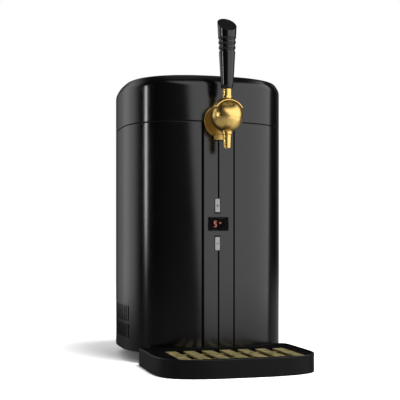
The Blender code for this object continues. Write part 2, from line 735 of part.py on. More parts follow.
def make_chamber():
    """Keg chamber liner, foam around it, top deck and lid gasket."""
    outer = CHAMBER_RADIUS + LINER_WALL
    flange_low = INSULATION_TOP_Z + GAP
    flange_high = flange_low + LINER_WALL
    profile = [
        (0, CHAMBER_FLOOR_Z),
        (CHAMBER_RADIUS, CHAMBER_FLOOR_Z),
        (CHAMBER_RADIUS, flange_high),
        (outer + LINER_FLANGE, flange_high),
        (outer + LINER_FLANGE, flange_low),
        (outer, flange_low),
        (outer, CHAMBER_FLOOR_Z - LINER_WALL),
        (0, CHAMBER_FLOOR_Z - LINER_WALL),
    ]
    centre = (0, CHAMBER_Y, 0)
    liner = lathe("inner_liner", profile, centre, (0, 0, 1), "aluminium", steps=ROUND_STEPS)
    near_side = WALL + GAP + INSULATION_AIR_GAP
    rings = [
        body_ring(near_side, INSULATION_BASE_Z),
        body_ring(near_side, INSULATION_STEP_Z),
        body_ring(WALL + GAP, INSULATION_STEP_Z),
        body_ring(WALL + GAP, INSULATION_TOP_Z),
    ]
    foam = loft("insulation", rings, "foam")
    hole_low = CHAMBER_FLOOR_Z - LINER_WALL - GAP
    bore = rod("cut_chamber", outer + GAP, (0, CHAMBER_Y, hole_low), (0, CHAMBER_Y, LID_TOP_Z), steps=ROUND_STEPS)
    cavity = block(
        "cut_cooling_bay",
        (-CAVITY_HALF_WIDTH, CAVITY_FRONT_Y, REAR_PANEL_LOW_Z - CAVITY_MARGIN),
        (CAVITY_HALF_WIDTH, REAR_EXTENT, REAR_PANEL_HIGH_Z + CAVITY_MARGIN),
    )
    inlet_bay = block(
        "cut_inlet_bay",
        (-INLET_HALF_WIDTH - CAVITY_MARGIN, BODY_REAR_REACH - INLET_DEPTH - CAVITY_MARGIN, 0),
        (INLET_HALF_WIDTH + CAVITY_MARGIN, REAR_EXTENT, REAR_PANEL_LOW_Z),
    )
    board_bay = block(
        "cut_board_bay",
        (-BOARD_WIDTH / 2 - BOARD_MARGIN, FAR_FRONT_Y, DISPLAY_Z - BOARD_HEIGHT / 2 - BOARD_MARGIN),
        (BOARD_WIDTH / 2 + BOARD_MARGIN, BOARD_Y + BOARD_THICKNESS + GAP,
         DISPLAY_Z + BOARD_HEIGHT / 2 + BOARD_MARGIN),
    )
    shank_bay = block(
        "cut_shank_bay",
        (-BRACKET_HALF_WIDTH - GAP, FAR_FRONT_Y, BRACKET_LOW_Z - GAP),
        (BRACKET_HALF_WIDTH + GAP, CHAMBER_Y - outer + LINER_WALL, LID_TOP_Z),
    )
    cut(foam, bore, cavity, inlet_bay, board_bay, shank_bay)
    liner_notch = block(
        "cut_liner_notch",
        (-BRACKET_HALF_WIDTH - GAP, FAR_FRONT_Y, flange_low - GAP),
        (BRACKET_HALF_WIDTH + GAP, CHAMBER_Y - outer, LID_TOP_Z),
    )
    cut(liner, liner_notch)
    deck_low = DECK_TOP_Z - DECK_THICKNESS
    deck = loft("top_deck", [body_ring(WALL + GAP, deck_low), body_ring(WALL + GAP, DECK_TOP_Z)], "satin_black")
    mouth = rod("cut_mouth", CHAMBER_RADIUS, (0, CHAMBER_Y, 0), (0, CHAMBER_Y, LID_TOP_Z), steps=ROUND_STEPS)
    socket = rod(
        "cut_coupler_socket",
        COUPLER_STEM_RADIUS + GAP,
        (COUPLER_X, COUPLER_Y, 0),
        (COUPLER_X, COUPLER_Y, LID_TOP_Z),
    )
    deck_notch = block(
        "cut_deck_notch",
        (-BRACKET_HALF_WIDTH - GAP, FAR_FRONT_Y, 0),
        (BRACKET_HALF_WIDTH + GAP, CHAMBER_Y - CHAMBER_RADIUS + WALL, LID_TOP_Z),
    )
    cut(deck, mouth, socket, deck_notch)
    gasket_low = DECK_TOP_Z + GAP
    gasket_high = gasket_low + GASKET_HEIGHT
    rings = [
        body_ring(GASKET_INSET, gasket_low),
        body_ring(GASKET_INSET, gasket_high),
        body_ring(GASKET_INSET + GASKET_WIDTH, gasket_high),
        body_ring(GASKET_INSET + GASKET_WIDTH, gasket_low),
    ]
    gasket = loft("lid_gasket", rings, "rubber", closed=True)
    gasket_notch = block(
        "cut_gasket_notch",
        (-LINING_NOTCH_HALF, FAR_FRONT_Y, 0),
        (LINING_NOTCH_HALF, CHAMBER_Y, LID_TOP_Z),
    )
    cut(gasket, gasket_notch)


def make_cooling():
    """Cold block, thermoelectric module, finned heat sink, fan and rear panel."""
    half = COLD_BLOCK_SIZE / 2
    front = CAVITY_FRONT_Y - LINER_FLANGE
    block_low = (-half, front, COOL_Z - half)
    cold = block("cold_block", block_low, (half, COLD_BLOCK_REAR_Y, COOL_Z + half), "aluminium")
    hollow = rod(
        "cut_cold_block",
        CHAMBER_RADIUS + LINER_WALL + GAP,
        (0, CHAMBER_Y, 0),
        (0, CHAMBER_Y, LID_TOP_Z),
        steps=ROUND_STEPS,
    )
    cut(cold, hollow)
    half = PELTIER_SIZE / 2
    level = COLD_BLOCK_REAR_Y + GAP
    block("peltier_module", (-half, level, COOL_Z - half), (half, level + PELTIER_THICKNESS, COOL_Z + half), "ceramic")
    level += PELTIER_THICKNESS + GAP
    low = (-SINK_WIDTH / 2, level, COOL_Z - SINK_HEIGHT / 2)
    high = (SINK_WIDTH / 2, level + SINK_DEPTH, COOL_Z + SINK_HEIGHT / 2)
    sink = block("heat_sink", low, high, "aluminium")
    gaps = []
    pitch = (SINK_WIDTH - FIN_THICKNESS) / (FIN_COUNT - 1)
    for index in range(FIN_COUNT - 1):
        x = -SINK_WIDTH / 2 + FIN_THICKNESS + index * pitch
        near = (x, level + SINK_BASE, 0)
        far = (x + pitch - FIN_THICKNESS, REAR_EXTENT, SEAM_Z)
        gaps.append(block("fin_gap", near, far))
    cut(sink, merged("cut_fins", gaps))
    fan_low = level + SINK_DEPTH + GAP
    fan_high = fan_low + FAN_DEPTH
    frame = plate("fan_frame", FAN_SIZE / 2, FAN_SIZE / 2, FAN_CORNER, 0, COOL_Z, fan_low, fan_high, "matt_black")
    bore = rod("cut_fan_bore", FAN_BORE_RADIUS, (0, 0, COOL_Z), (0, REAR_EXTENT, COOL_Z), steps=ROUND_STEPS)
    cut(frame, bore)
    hub = rod("add_fan_hub", HUB_RADIUS, (0, fan_high - HUB_PLATE, COOL_Z), (0, fan_high, COOL_Z))
    join(frame, hub)
    reach = FAN_BORE_RADIUS + GAP + GAP
    for index in range(SPOKE_COUNT // 2):
        turn = Matrix.Rotation(math.pi * (2 * index + 1) / SPOKE_COUNT, 3, "Y")
        near = (-reach, fan_high - HUB_PLATE, COOL_Z - SPOKE_WIDTH / 2)
        far = (reach, fan_high, COOL_Z + SPOKE_WIDTH / 2)
        spoke = block("add_spoke_%d" % index, near, far, origin=(0, fan_high, COOL_Z), turn=turn)
        join(frame, spoke)
    rotor_low = fan_low + GAP
    rotor_high = fan_high - HUB_PLATE - GAP
    rotor = rod("fan_rotor", HUB_RADIUS, (0, rotor_low, COOL_Z), (0, rotor_high, COOL_Z), "matt_black",
                origin=(0, rotor_low, COOL_Z))
    middle_y = (rotor_low + rotor_high) / 2
    for index in range(BLADE_COUNT):
        around = Matrix.Rotation(math.tau * index / BLADE_COUNT, 3, "Y")
        tilt = Matrix.Rotation(BLADE_PITCH, 3, "Z")
        near = (-BLADE_CHORD / 2, middle_y - BLADE_THICKNESS / 2, COOL_Z + HUB_RADIUS * 0.8)
        far = (BLADE_CHORD / 2, middle_y + BLADE_THICKNESS / 2, COOL_Z + BLADE_REACH)
        blade = block("add_blade_%d" % index, near, far, origin=(0, middle_y, COOL_Z), turn=around @ tilt)
        join(rotor, blade)
    shroud_low = fan_high + GAP
    shroud_high = shroud_low + SHROUD_THICKNESS
    panel_z = (REAR_PANEL_LOW_Z + REAR_PANEL_HIGH_Z) / 2
    panel_half = (REAR_PANEL_HIGH_Z - REAR_PANEL_LOW_Z) / 2
    shroud = plate("fan_shroud", SHROUD_HALF_WIDTH, panel_half, FAN_CORNER, 0, panel_z,
                   shroud_low, shroud_high, "matt_black")
    rings = [
        body_ring(0, REAR_PANEL_LOW_Z - FAN_CORNER),
        body_ring(0, REAR_PANEL_HIGH_Z + FAN_CORNER),
        body_ring(WALL, REAR_PANEL_HIGH_Z + FAN_CORNER),
        body_ring(WALL, REAR_PANEL_LOW_Z - FAN_CORNER),
    ]
    panel = loft("rear_panel", rings, "gloss_black", closed=True)
    window = plate("keep_rear_panel", REAR_PANEL_HALF_WIDTH, panel_half, FAN_CORNER, 0, panel_z,
                   COLD_BLOCK_REAR_Y, REAR_EXTENT)
    cut(panel, window, operation="INTERSECT")
    slots = []
    for index in range(REAR_SLOT_COUNT):
        x = (index - (REAR_SLOT_COUNT - 1) / 2) * REAR_SLOT_PITCH
        near = (x - REAR_SLOT_WIDTH / 2, COLD_BLOCK_REAR_Y, REAR_PANEL_LOW_Z + REAR_SLOT_MARGIN)
        far = (x + REAR_SLOT_WIDTH / 2, REAR_EXTENT, REAR_PANEL_HIGH_Z - REAR_SLOT_MARGIN)
        slots.append(block("slot", near, far))
    cut(panel, merged("cut_rear_slots", slots))
    seat = rear_surface_y(SCREW_X) - WALL / 2
    passages = []
    sinks = []
    levels = (REAR_PANEL_LOW_Z + SCREW_MARGIN, REAR_PANEL_HIGH_Z - SCREW_MARGIN)
    count = 0
    for z in levels:
        for x in (-SCREW_X, SCREW_X):
            count += 1
            passages.append(rod("way", SCREW_RADIUS + GAP, (x, 0, z), (x, REAR_EXTENT, z), steps=10))
            sinks.append(rod("seat", SCREW_HEAD_RADIUS + GAP, (x, seat, z), (x, REAR_EXTENT, z), steps=12))
            head = seat + GAP
            profile = [
                (0, shroud_low + GAP),
                (SCREW_RADIUS, shroud_low + GAP),
                (SCREW_RADIUS, head),
                (SCREW_HEAD_RADIUS, head),
                (SCREW_HEAD_RADIUS, head + SCREW_HEAD_HEIGHT),
                (0, head + SCREW_HEAD_HEIGHT),
            ]
            screw = lathe("panel_screw_%d" % count, profile, (x, 0, z), (0, 1, 0), "steel",
                          origin=(x, head, z), steps=10)
            recess = SCREW_HEAD_RADIUS + GAP
            top = head + SCREW_HEAD_HEIGHT
            bars = []
            for wide, tall in ((recess / 2, SCREW_SLOT / 2), (SCREW_SLOT / 2, recess / 2)):
                near = (x - wide, top - SCREW_SLOT, z - tall)
                bars.append(block("cut_cross_%d_%d" % (count, len(bars)), near, (x + wide, REAR_EXTENT, z + tall)))
            cut(screw, *bars)
    ways = merged("cut_screw_ways", passages)
    cut(panel, ways, merged("cut_screw_seats", sinks))
    shroud_bore = rod("cut_shroud_bore", FAN_BORE_RADIUS, (0, 0, COOL_Z), (0, REAR_EXTENT, COOL_Z), steps=ROUND_STEPS)
    cut(shroud, shroud_bore, ways)


def make_controls():
    """Temperature display, two push buttons, their switches and the control board."""
    face = FRONT_Y + DISPLAY_RECESS
    plate("display_window", DISPLAY_WIDTH / 2 - GAP, DISPLAY_HEIGHT / 2 - GAP, DISPLAY_CORNER - GAP,
          -DISPLAY_SHIFT, DISPLAY_Z, face, face + WINDOW_THICKNESS, "smoked_glass")
    led_front = face + WINDOW_THICKNESS + GAP + SEGMENT_RISE
    led = plate("led_display", DISPLAY_WIDTH / 2 - GAP, DISPLAY_HEIGHT / 2 - GAP, DISPLAY_CORNER,
                -DISPLAY_SHIFT, DISPLAY_Z, led_front, BOARD_Y - GAP, "led_red")
    long = SEGMENT_LENGTH / 2
    wide = SEGMENT_WIDTH / 2
    bars = [
        (DIGIT_X, DISPLAY_Z + 2 * long, long, wide),
        (DIGIT_X, DISPLAY_Z, long, wide),
        (DIGIT_X, DISPLAY_Z - 2 * long, long, wide),
        (DIGIT_X - long, DISPLAY_Z + long, wide, long + wide),
        (DIGIT_X + long, DISPLAY_Z - long, wide, long + wide),
    ]
    for number, (x, z, half_x, half_z) in enumerate(bars):
        near = (x - half_x, led_front - SEGMENT_RISE, z - half_z)
        far = (x + half_x, led_front + SEGMENT_RISE, z + half_z)
        join(led, block("add_segment_%d" % number, near, far))
    profile = [
        (DEGREE_RADIUS - SEGMENT_WIDTH, -SEGMENT_RISE),
        (DEGREE_RADIUS, -SEGMENT_RISE),
        (DEGREE_RADIUS, SEGMENT_RISE),
        (DEGREE_RADIUS - SEGMENT_WIDTH, SEGMENT_RISE),
    ]
    mark = lathe("add_degree", profile, (DEGREE_X, led_front, DISPLAY_Z + DEGREE_Z), (0, 1, 0), steps=12)
    join(led, mark)
    board_half = BOARD_HEIGHT / 2
    block("control_board", (-BOARD_WIDTH / 2, BOARD_Y, DISPLAY_Z - board_half),
          (BOARD_WIDTH / 2, BOARD_Y + BOARD_THICKNESS, DISPLAY_Z + board_half), "board_green")
    for name, level, upright in (("plus", PLUS_Z, True), ("minus", MINUS_Z, False)):
        outer = FRONT_Y - BUTTON_PROUD
        inner = FRONT_Y + WALL + BUTTON_REAR
        button = plate("%s_button" % name, BUTTON_WIDTH / 2, BUTTON_HEIGHT / 2, BUTTON_CORNER,
                       -BUTTON_SHIFT, level, outer, inner, "button_grey", origin=(-BUTTON_SHIFT, FRONT_Y, level))
        lip_near = FRONT_Y + WALL + GAP
        lip = plate("add_%s_lip" % name, BUTTON_WIDTH / 2 + BUTTON_LIP, BUTTON_HEIGHT / 2 + BUTTON_LIP,
                    BUTTON_CORNER, -BUTTON_SHIFT, level, lip_near, lip_near + BUTTON_LIP)
        join(button, lip)
        marks = [(SIGN_LENGTH / 2, SIGN_WIDTH / 2)]
        if upright:
            marks.append((SIGN_WIDTH / 2, SIGN_LENGTH / 2))
        for number, (half_x, half_z) in enumerate(marks):
            near = (-BUTTON_SHIFT - half_x, outer - SIGN_DEPTH, level - half_z)
            far = (-BUTTON_SHIFT + half_x, outer + SIGN_DEPTH, level + half_z)
            cut(button, block("cut_%s_sign_%d" % (name, number), near, far))
        half = SWITCH_SIZE / 2
        near = (-BUTTON_SHIFT - half, inner + BUTTON_TRAVEL + GAP, level - half)
        far = (-BUTTON_SHIFT + half, BOARD_Y - GAP, level + half)
        block("%s_switch" % name, near, far, "matt_black")


def make_inlet():
    """Rear mains inlet with its pins and rocker switch."""
    inlet_z = (INLET_LOW_Z + INLET_HIGH_Z) / 2
    half_z = (INLET_HIGH_Z - INLET_LOW_Z) / 2
    deep = BODY_REAR_REACH - INLET_DEPTH
    outer = BODY_REAR_REACH + GAP
    housing = plate("inlet_housing", INLET_HALF_WIDTH, half_z, INLET_CORNER, 0, inlet_z, deep, outer, "matt_black")
    flange = plate("add_inlet_flange", INLET_HALF_WIDTH + INLET_FLANGE, half_z + INLET_FLANGE, INLET_CORNER,
                   0, inlet_z, outer - GAP / 4, outer + INLET_FLANGE_THICKNESS)
    join(housing, flange)
    face = outer + INLET_FLANGE_THICKNESS
    floor = face - SOCKET_DEPTH
    socket = plate("cut_socket", SOCKET_WIDTH / 2, SOCKET_HEIGHT / 2, INLET_CORNER, 0, SOCKET_Z, floor, REAR_EXTENT + WALL)
    pocket = plate("cut_rocker_pocket", ROCKER_WIDTH / 2 + GAP, ROCKER_HEIGHT / 2 + GAP + GAP, INLET_CORNER / 2,
                   0, ROCKER_Z, face - ROCKER_POCKET, REAR_EXTENT + WALL)
    cut(housing, socket, pocket)
    base = floor + GAP
    half_w = PIN_WIDTH / 2
    half_h = PIN_HEIGHT / 2
    bridge = block("inlet_pins", (-PIN_SPREAD - half_w, base, SOCKET_Z - half_h - PIN_RAISE),
                   (PIN_SPREAD + half_w, base + PIN_BRIDGE, SOCKET_Z + half_h + PIN_RAISE), "brass")
    for number, (x, rise) in enumerate(((-PIN_SPREAD, -PIN_RAISE), (0, PIN_RAISE), (PIN_SPREAD, -PIN_RAISE))):
        near = (x - half_w, base + PIN_BRIDGE / 2, SOCKET_Z + rise - half_h)
        far = (x + half_w, base + PIN_LENGTH, SOCKET_Z + rise + half_h)
        join(bridge, block("add_pin_%d" % number, near, far))
    rise = ROCKER_HEIGHT / 2 * math.tan(ROCKER_ANGLE)
    half = ROCKER_HEIGHT / 2
    pivot_y = face - GAP
    side = [
        (pivot_y - ROCKER_BACK, ROCKER_Z - half * 0.7),
        (pivot_y, ROCKER_Z - half),
        (pivot_y + rise, ROCKER_Z - half),
        (pivot_y + GAP, ROCKER_Z),
        (pivot_y + rise, ROCKER_Z + half),
        (pivot_y, ROCKER_Z + half),
        (pivot_y - ROCKER_BACK, ROCKER_Z + half * 0.7),
    ]
    turned = []
    for y, z in side:
        ahead = y - pivot_y
        above = z - ROCKER_Z
        turned.append((pivot_y + ahead * math.cos(ROCKER_ANGLE) - above * math.sin(ROCKER_ANGLE),
                       ROCKER_Z + above * math.cos(ROCKER_ANGLE) + ahead * math.sin(ROCKER_ANGLE)))
    rings = [[(x, y, z) for y, z in turned] for x in (-ROCKER_WIDTH / 2, ROCKER_WIDTH / 2)]
    loft("power_rocker", rings, "matt_black", origin=(0, pivot_y, ROCKER_Z), smooth=20.0)


def make_tap_mount():
    """Escutcheon, shank, nut and inner bracket that carry the tap on the seam."""
    back = FRONT_Y - FLANGE_STANDOFF
    front = back - FLANGE_THICKNESS
    bore = SHANK_RADIUS + GAP
    profile = [
        (bore, FLANGE_STANDOFF),
        (FLANGE_RADIUS - FLANGE_DISH, FLANGE_STANDOFF),
        (FLANGE_RADIUS, FLANGE_STANDOFF + FLANGE_DISH),
        (FLANGE_RADIUS, FLANGE_STANDOFF + FLANGE_THICKNESS - FLANGE_DISH),
        (FLANGE_RADIUS - FLANGE_DISH, FLANGE_STANDOFF + FLANGE_THICKNESS),
        (FLANGE_RADIUS - FLANGE_LIP, FLANGE_STANDOFF + FLANGE_THICKNESS),
        (FLANGE_RADIUS - FLANGE_LIP - FLANGE_DISH, FLANGE_STANDOFF + FLANGE_THICKNESS - FLANGE_DISH),
        (bore, FLANGE_STANDOFF + FLANGE_THICKNESS - FLANGE_DISH),
    ]
    flange = lathe("tap_flange", profile, (0, FRONT_Y, SEAM_Z), (0, -1, 0), "gold", steps=ROUND_STEPS)
    lug_low = SEAM_Z - FLANGE_RADIUS - LUG_DROP
    lug = block("add_lug", (-LUG_HALF_WIDTH, back - LUG_DEPTH, lug_low),
                (LUG_HALF_WIDTH, back, SEAM_Z - FLANGE_RADIUS * 0.8), edge=LUG_EDGE)
    join(flange, lug)
    tail = FRONT_Y + SHANK_REAR
    nose = BALL_Y + TAP_BALL_RADIUS * 0.55
    profile = [
        (SHANK_BORE, tail),
        (SHANK_RADIUS, tail),
        (SHANK_RADIUS, nose),
        (SHANK_BORE, nose),
    ]
    lathe("tap_shank", profile, (0, 0, SEAM_Z), (0, 1, 0), "gold", origin=(0, FRONT_Y, SEAM_Z))
    bracket_near = FRONT_Y + WALL + BRACKET_OFFSET
    bracket_far = bracket_near + BRACKET_THICKNESS
    bracket = block("tap_bracket", (-BRACKET_HALF_WIDTH, bracket_near, BRACKET_LOW_Z),
                    (BRACKET_HALF_WIDTH, bracket_far, BRACKET_HIGH_Z), "steel")
    way = rod("cut_bracket_way", SHANK_RADIUS + GAP, (0, FRONT_Y, SEAM_Z), (0, CHAMBER_Y, SEAM_Z))
    cut(bracket, way)
    nut_near = bracket_far + GAP
    profile = [(0, nut_near), (NUT_RADIUS, nut_near), (NUT_RADIUS, nut_near + NUT_LENGTH), (0, nut_near + NUT_LENGTH)]
    nut = lathe("shank_nut", profile, (0, 0, SEAM_Z), (0, 1, 0), "brass", origin=(0, nut_near, SEAM_Z),
                steps=6, smooth=20.0)
    cut(nut, way)


def make_tap_body():
    """Ball body with its neck, collar, inner space, and the tapered spout."""
    centre = (0, BALL_Y, BALL_Z)
    half = 13
    profile = [(0, -TAP_BALL_RADIUS)]
    for index in range(1, half):
        angle = math.pi * index / half
        profile.append((TAP_BALL_RADIUS * math.sin(angle), -TAP_BALL_RADIUS * math.cos(angle)))
    profile.append((0, TAP_BALL_RADIUS))
    ball = lathe("tap_ball", profile, centre, (0, 0, 1), "gold", steps=26)
    neck_end = FRONT_Y - FLANGE_STANDOFF - FLANGE_THICKNESS - GAP
    neck = rod("add_tap_neck", TAP_NECK_RADIUS, (0, BALL_Y, SEAM_Z), (0, neck_end, SEAM_Z), steps=20)
    collar_low = BALL_Z - TAP_BALL_RADIUS - COLLAR_HEIGHT
    collar = rod("add_collar", COLLAR_RADIUS, (0, BALL_Y, collar_low), (0, BALL_Y, BALL_Z))
    join(ball, neck, collar)
    profile = [(0, -TAP_CAVITY_RADIUS)]
    half = 6
    for index in range(1, half):
        angle = math.pi * index / half
        profile.append((TAP_CAVITY_RADIUS * math.sin(angle), -TAP_CAVITY_RADIUS * math.cos(angle)))
    profile.append((0, TAP_CAVITY_RADIUS))
    room = lathe("cut_tap_room", profile, centre, (0, 0, 1), steps=12)
    bore = rod("cut_tap_bore", SHANK_RADIUS + GAP, (0, BALL_Y + TAP_BALL_RADIUS * 0.5, SEAM_Z),
               (0, FRONT_Y, SEAM_Z))
    drain = rod("cut_drain", SPOUT_PLUG_RADIUS + GAP, (0, BALL_Y, collar_low - COLLAR_HEIGHT), (0, BALL_Y, BALL_Z))
    swing = (TAP_BALL_RADIUS + HOOD_CLEARANCE) * math.sin(LEVER_SWING) + STEM_RADIUS + GAP + GAP
    slot = block("cut_stem_slot", (-STEM_RADIUS - GAP - GAP, BALL_Y - swing, BALL_Z + TAP_CAVITY_RADIUS / 2),
                 (STEM_RADIUS + GAP + GAP, BALL_Y + STEM_RADIUS + GAP + GAP, BALL_Z + TAP_BALL_RADIUS + HOOD_THICKNESS))
    pin_way = rod("cut_pin_way", LEVER_PIN_RADIUS + GAP, (-LEVER_PIN_HALF - GAP, BALL_Y, BALL_Z),
                  (LEVER_PIN_HALF + GAP, BALL_Y, BALL_Z), steps=16)
    cut(ball, room, bore, drain, slot, pin_way)
    rod("lever_pin", LEVER_PIN_RADIUS, (-LEVER_PIN_HALF, BALL_Y, BALL_Z), (LEVER_PIN_HALF, BALL_Y, BALL_Z), "steel",
        origin=centre, steps=16)
    shoulder = collar_low - GAP
    profile = [
        (SPOUT_BORE, SPOUT_TIP_Z),
        (SPOUT_TIP_RADIUS - SPOUT_EDGE, SPOUT_TIP_Z),
        (SPOUT_TIP_RADIUS, SPOUT_TIP_Z + SPOUT_EDGE),
        (SPOUT_TOP_RADIUS, shoulder),
        (SPOUT_PLUG_RADIUS, shoulder),
        (SPOUT_PLUG_RADIUS, shoulder + SPOUT_PLUG_LENGTH),
        (SPOUT_BORE, shoulder + SPOUT_PLUG_LENGTH),
    ]
    lathe("tap_spout", profile, (0, BALL_Y, 0), (0, 0, 1), "gold", origin=(0, BALL_Y, shoulder))
    start = BALL_Y + STEM_EYE_RADIUS + GAP
    profile = [
        (0, start),
        (PLUNGER_HEAD_RADIUS, start),
        (PLUNGER_HEAD_RADIUS, start + PLUNGER_HEAD_LENGTH),
        (PLUNGER_RADIUS, start + PLUNGER_HEAD_LENGTH),
        (PLUNGER_RADIUS, start + PLUNGER_LENGTH),
        (0, start + PLUNGER_LENGTH),
    ]
    lathe("valve_plunger", profile, (0, 0, SEAM_Z), (0, 1, 0), "steel", origin=(0, start, SEAM_Z), steps=20)


def make_lever():
    """Hooded lever with its neck, stem and stud, and the turned black handle."""
    centre = (0, BALL_Y, BALL_Z)
    inner = TAP_BALL_RADIUS + HOOD_CLEARANCE
    outer = inner + HOOD_THICKNESS
    outside = []
    inside = []
    steps = 8
    for index in range(1, steps + 1):
        angle = math.pi / 2 * index / steps
        outside.append((outer * math.sin(angle), outer * math.cos(angle)))
        inside.append((inner * math.sin(angle), inner * math.cos(angle)))
    profile = [(0, outer)] + outside + inside[::-1] + [(0, inner)]
    lever = lathe("tap_lever", profile, centre, (0, 0, 1), "gold", steps=32, origin=centre)
    keep = block("keep_hood", (-outer - WALL, BALL_Y - HOOD_FRONT, BALL_Z + HOOD_LOW),
                 (outer + WALL, BALL_Y + HOOD_REAR, BALL_Z + outer + WALL))
    cut(lever, keep, operation="INTERSECT")
    middle = BALL_Z + (inner + outer) / 2
    profile = [
        (0, middle),
        (NECK_FOOT_RADIUS, middle),
        (NECK_FOOT_RADIUS * 0.93, BALL_Z + outer + NECK_FLARE / 3),
        (NECK_RADIUS, BALL_Z + outer + NECK_FLARE),
        (NECK_RADIUS, NECK_TOP_Z),
        (STUD_RADIUS, NECK_TOP_Z),
        (STUD_RADIUS, NECK_TOP_Z + STUD_LENGTH),
        (0, NECK_TOP_Z + STUD_LENGTH),
    ]
    neck = lathe("add_lever_neck", profile, (0, BALL_Y, 0), (0, 0, 1), steps=20)
    stem_top = BALL_Z + outer + NECK_FLARE / 4
    stem = rod("add_stem", STEM_RADIUS, (0, BALL_Y, BALL_Z - STEM_FINGER), (0, BALL_Y, stem_top), steps=12)
    eye = rod("add_eye", STEM_EYE_RADIUS, (-STEM_EYE_WIDTH / 2, BALL_Y, BALL_Z), (STEM_EYE_WIDTH / 2, BALL_Y, BALL_Z),
              steps=14)
    join(lever, neck, stem, eye)
    cut(lever, rod("cut_eye", LEVER_PIN_RADIUS + GAP, (-TAP_BALL_RADIUS, BALL_Y, BALL_Z),
                   (TAP_BALL_RADIUS, BALL_Y, BALL_Z), steps=16))
    low = NECK_TOP_Z + GAP
    foot = low + HANDLE_FOOT_HEIGHT
    growth = (HANDLE_TOP_RADIUS - HANDLE_FOOT_RADIUS) / (HANDLE_TOP_Z - foot)

    def radius_at(level):
        return HANDLE_FOOT_RADIUS + growth * (level - foot)

    socket_top = low + STUD_LENGTH + GAP
    profile = [
        (0, socket_top),
        (STUD_RADIUS + GAP, socket_top),
        (STUD_RADIUS + GAP, low),
        (HANDLE_BASE_RADIUS, low),
        (HANDLE_FOOT_RADIUS, foot),
    ]
    for index in range(NOTCH_COUNT):
        middle = NOTCH_LOW_Z + index * NOTCH_PITCH
        profile.append((radius_at(middle - NOTCH_HALF_WIDTH), middle - NOTCH_HALF_WIDTH))
        profile.append((radius_at(middle) - NOTCH_DEPTH, middle - NOTCH_HALF_WIDTH / 3))
        profile.append((radius_at(middle) - NOTCH_DEPTH, middle + NOTCH_HALF_WIDTH / 3))
        profile.append((radius_at(middle + NOTCH_HALF_WIDTH), middle + NOTCH_HALF_WIDTH))
    over = HANDLE_TOP_Z + HANDLE_TOP_RADIUS
    profile.append((radius_at(over), over))
    profile.append((0, over))
    handle = lathe("tap_handle", profile, (0, BALL_Y, 0), (0, 0, 1), "gloss_black", origin=(0, BALL_Y, low), steps=28)
    pivot = (0, BALL_Y + radius_at(HANDLE_TOP_Z), HANDLE_TOP_Z)
    size = FLANGE_RADIUS * 4
    turn = Matrix.Rotation(HANDLE_CUT_ANGLE, 3, "X")
    slice_low = (-size, pivot[1] - size, pivot[2])
    slice_high = (size, pivot[1] + size, pivot[2] + size)
    cut(handle, block("cut_handle_top", slice_low, slice_high, origin=pivot, turn=turn))


def make_beer_line():
    """Hose from the shank round the deck to the parked keg coupler."""
    level = DECK_TOP_Z + GAP + HOSE_RADIUS + HOSE_LIFT
    elbow_y = FRONT_Y + SHANK_REAR + GAP
    start_y = elbow_y + ELBOW_LENGTH / 2
    start_x = -ELBOW_BARB_REACH - GAP
    elbow = rod("shank_elbow", ELBOW_RADIUS, (0, elbow_y, SEAM_Z), (0, elbow_y + ELBOW_LENGTH, SEAM_Z), "brass",
                steps=16)
    join(elbow, rod("add_elbow_barb", ELBOW_BARB_RADIUS, (0, start_y, level), (-ELBOW_BARB_REACH, start_y, level),
                    steps=12))
    track = HOSE_TRACK_RADIUS
    barb_y = COUPLER_Y - COUPLER_RADIUS - COUPLER_BARB_LENGTH
    barb_z = DECK_TOP_Z + COUPLER_HEIGHT / 2
    path = [(start_x, start_y, level), (start_x - HOSE_RADIUS, start_y, level)]
    for degrees in (248, 232, 216, 200, 184, 168, 154):
        angle = math.radians(degrees)
        path.append((track * math.cos(angle), CHAMBER_Y + track * math.sin(angle), level))
    path.append((COUPLER_X - HOSE_RADIUS, barb_y - HOSE_RADIUS * 4, (level + barb_z) / 2))
    path.append((COUPLER_X, barb_y - HOSE_RADIUS, barb_z))
    path.append((COUPLER_X, barb_y - GAP, barb_z))
    curve = bpy.data.curves.new("beer_line_path", "CURVE")
    curve.dimensions = "3D"
    spline = curve.splines.new("BEZIER")
    spline.bezier_points.add(len(path) - 1)
    for point, spot in zip(spline.bezier_points, path):
        point.co = spot
        point.handle_left_type = "AUTO"
        point.handle_right_type = "AUTO"
    spline.resolution_u = 3
    curve.bevel_depth = HOSE_RADIUS
    curve.bevel_resolution = 1
    curve.use_fill_caps = True
    guide = bpy.data.objects.new("beer_line_guide", curve)
    PARTS.objects.link(guide)
    bpy.context.view_layer.update()
    graph = bpy.context.evaluated_depsgraph_get()
    mesh = bpy.data.meshes.new_from_object(guide.evaluated_get(graph))
    bm = bmesh.new()
    bm.from_mesh(mesh)
    bmesh.ops.remove_doubles(bm, verts=bm.verts, dist=0.00001)
    bpy.data.meshes.remove(mesh)
    bpy.data.objects.remove(guide, do_unlink=True)
    finish_mesh("beer_line", bm, (start_x, start_y, level), "hose", 50.0)
    low = DECK_TOP_Z + GAP
    profile = [
        (0, DECK_TOP_Z - DECK_THICKNESS + GAP),
        (COUPLER_STEM_RADIUS, DECK_TOP_Z - DECK_THICKNESS + GAP),
        (COUPLER_STEM_RADIUS, low),
        (COUPLER_RADIUS, low),
        (COUPLER_RADIUS, low + COUPLER_HEIGHT - COUPLER_EDGE),
        (COUPLER_RADIUS - COUPLER_EDGE, low + COUPLER_HEIGHT),
        (0, low + COUPLER_HEIGHT),
    ]
    coupler = lathe("keg_coupler", profile, (COUPLER_X, COUPLER_Y, 0), (0, 0, 1), "satin_black",
                    origin=(COUPLER_X, COUPLER_Y, low), steps=24)
    barb = rod("add_barb", COUPLER_BARB_RADIUS, (COUPLER_X, COUPLER_Y, barb_z), (COUPLER_X, barb_y, barb_z), steps=16)
    join(coupler, barb)


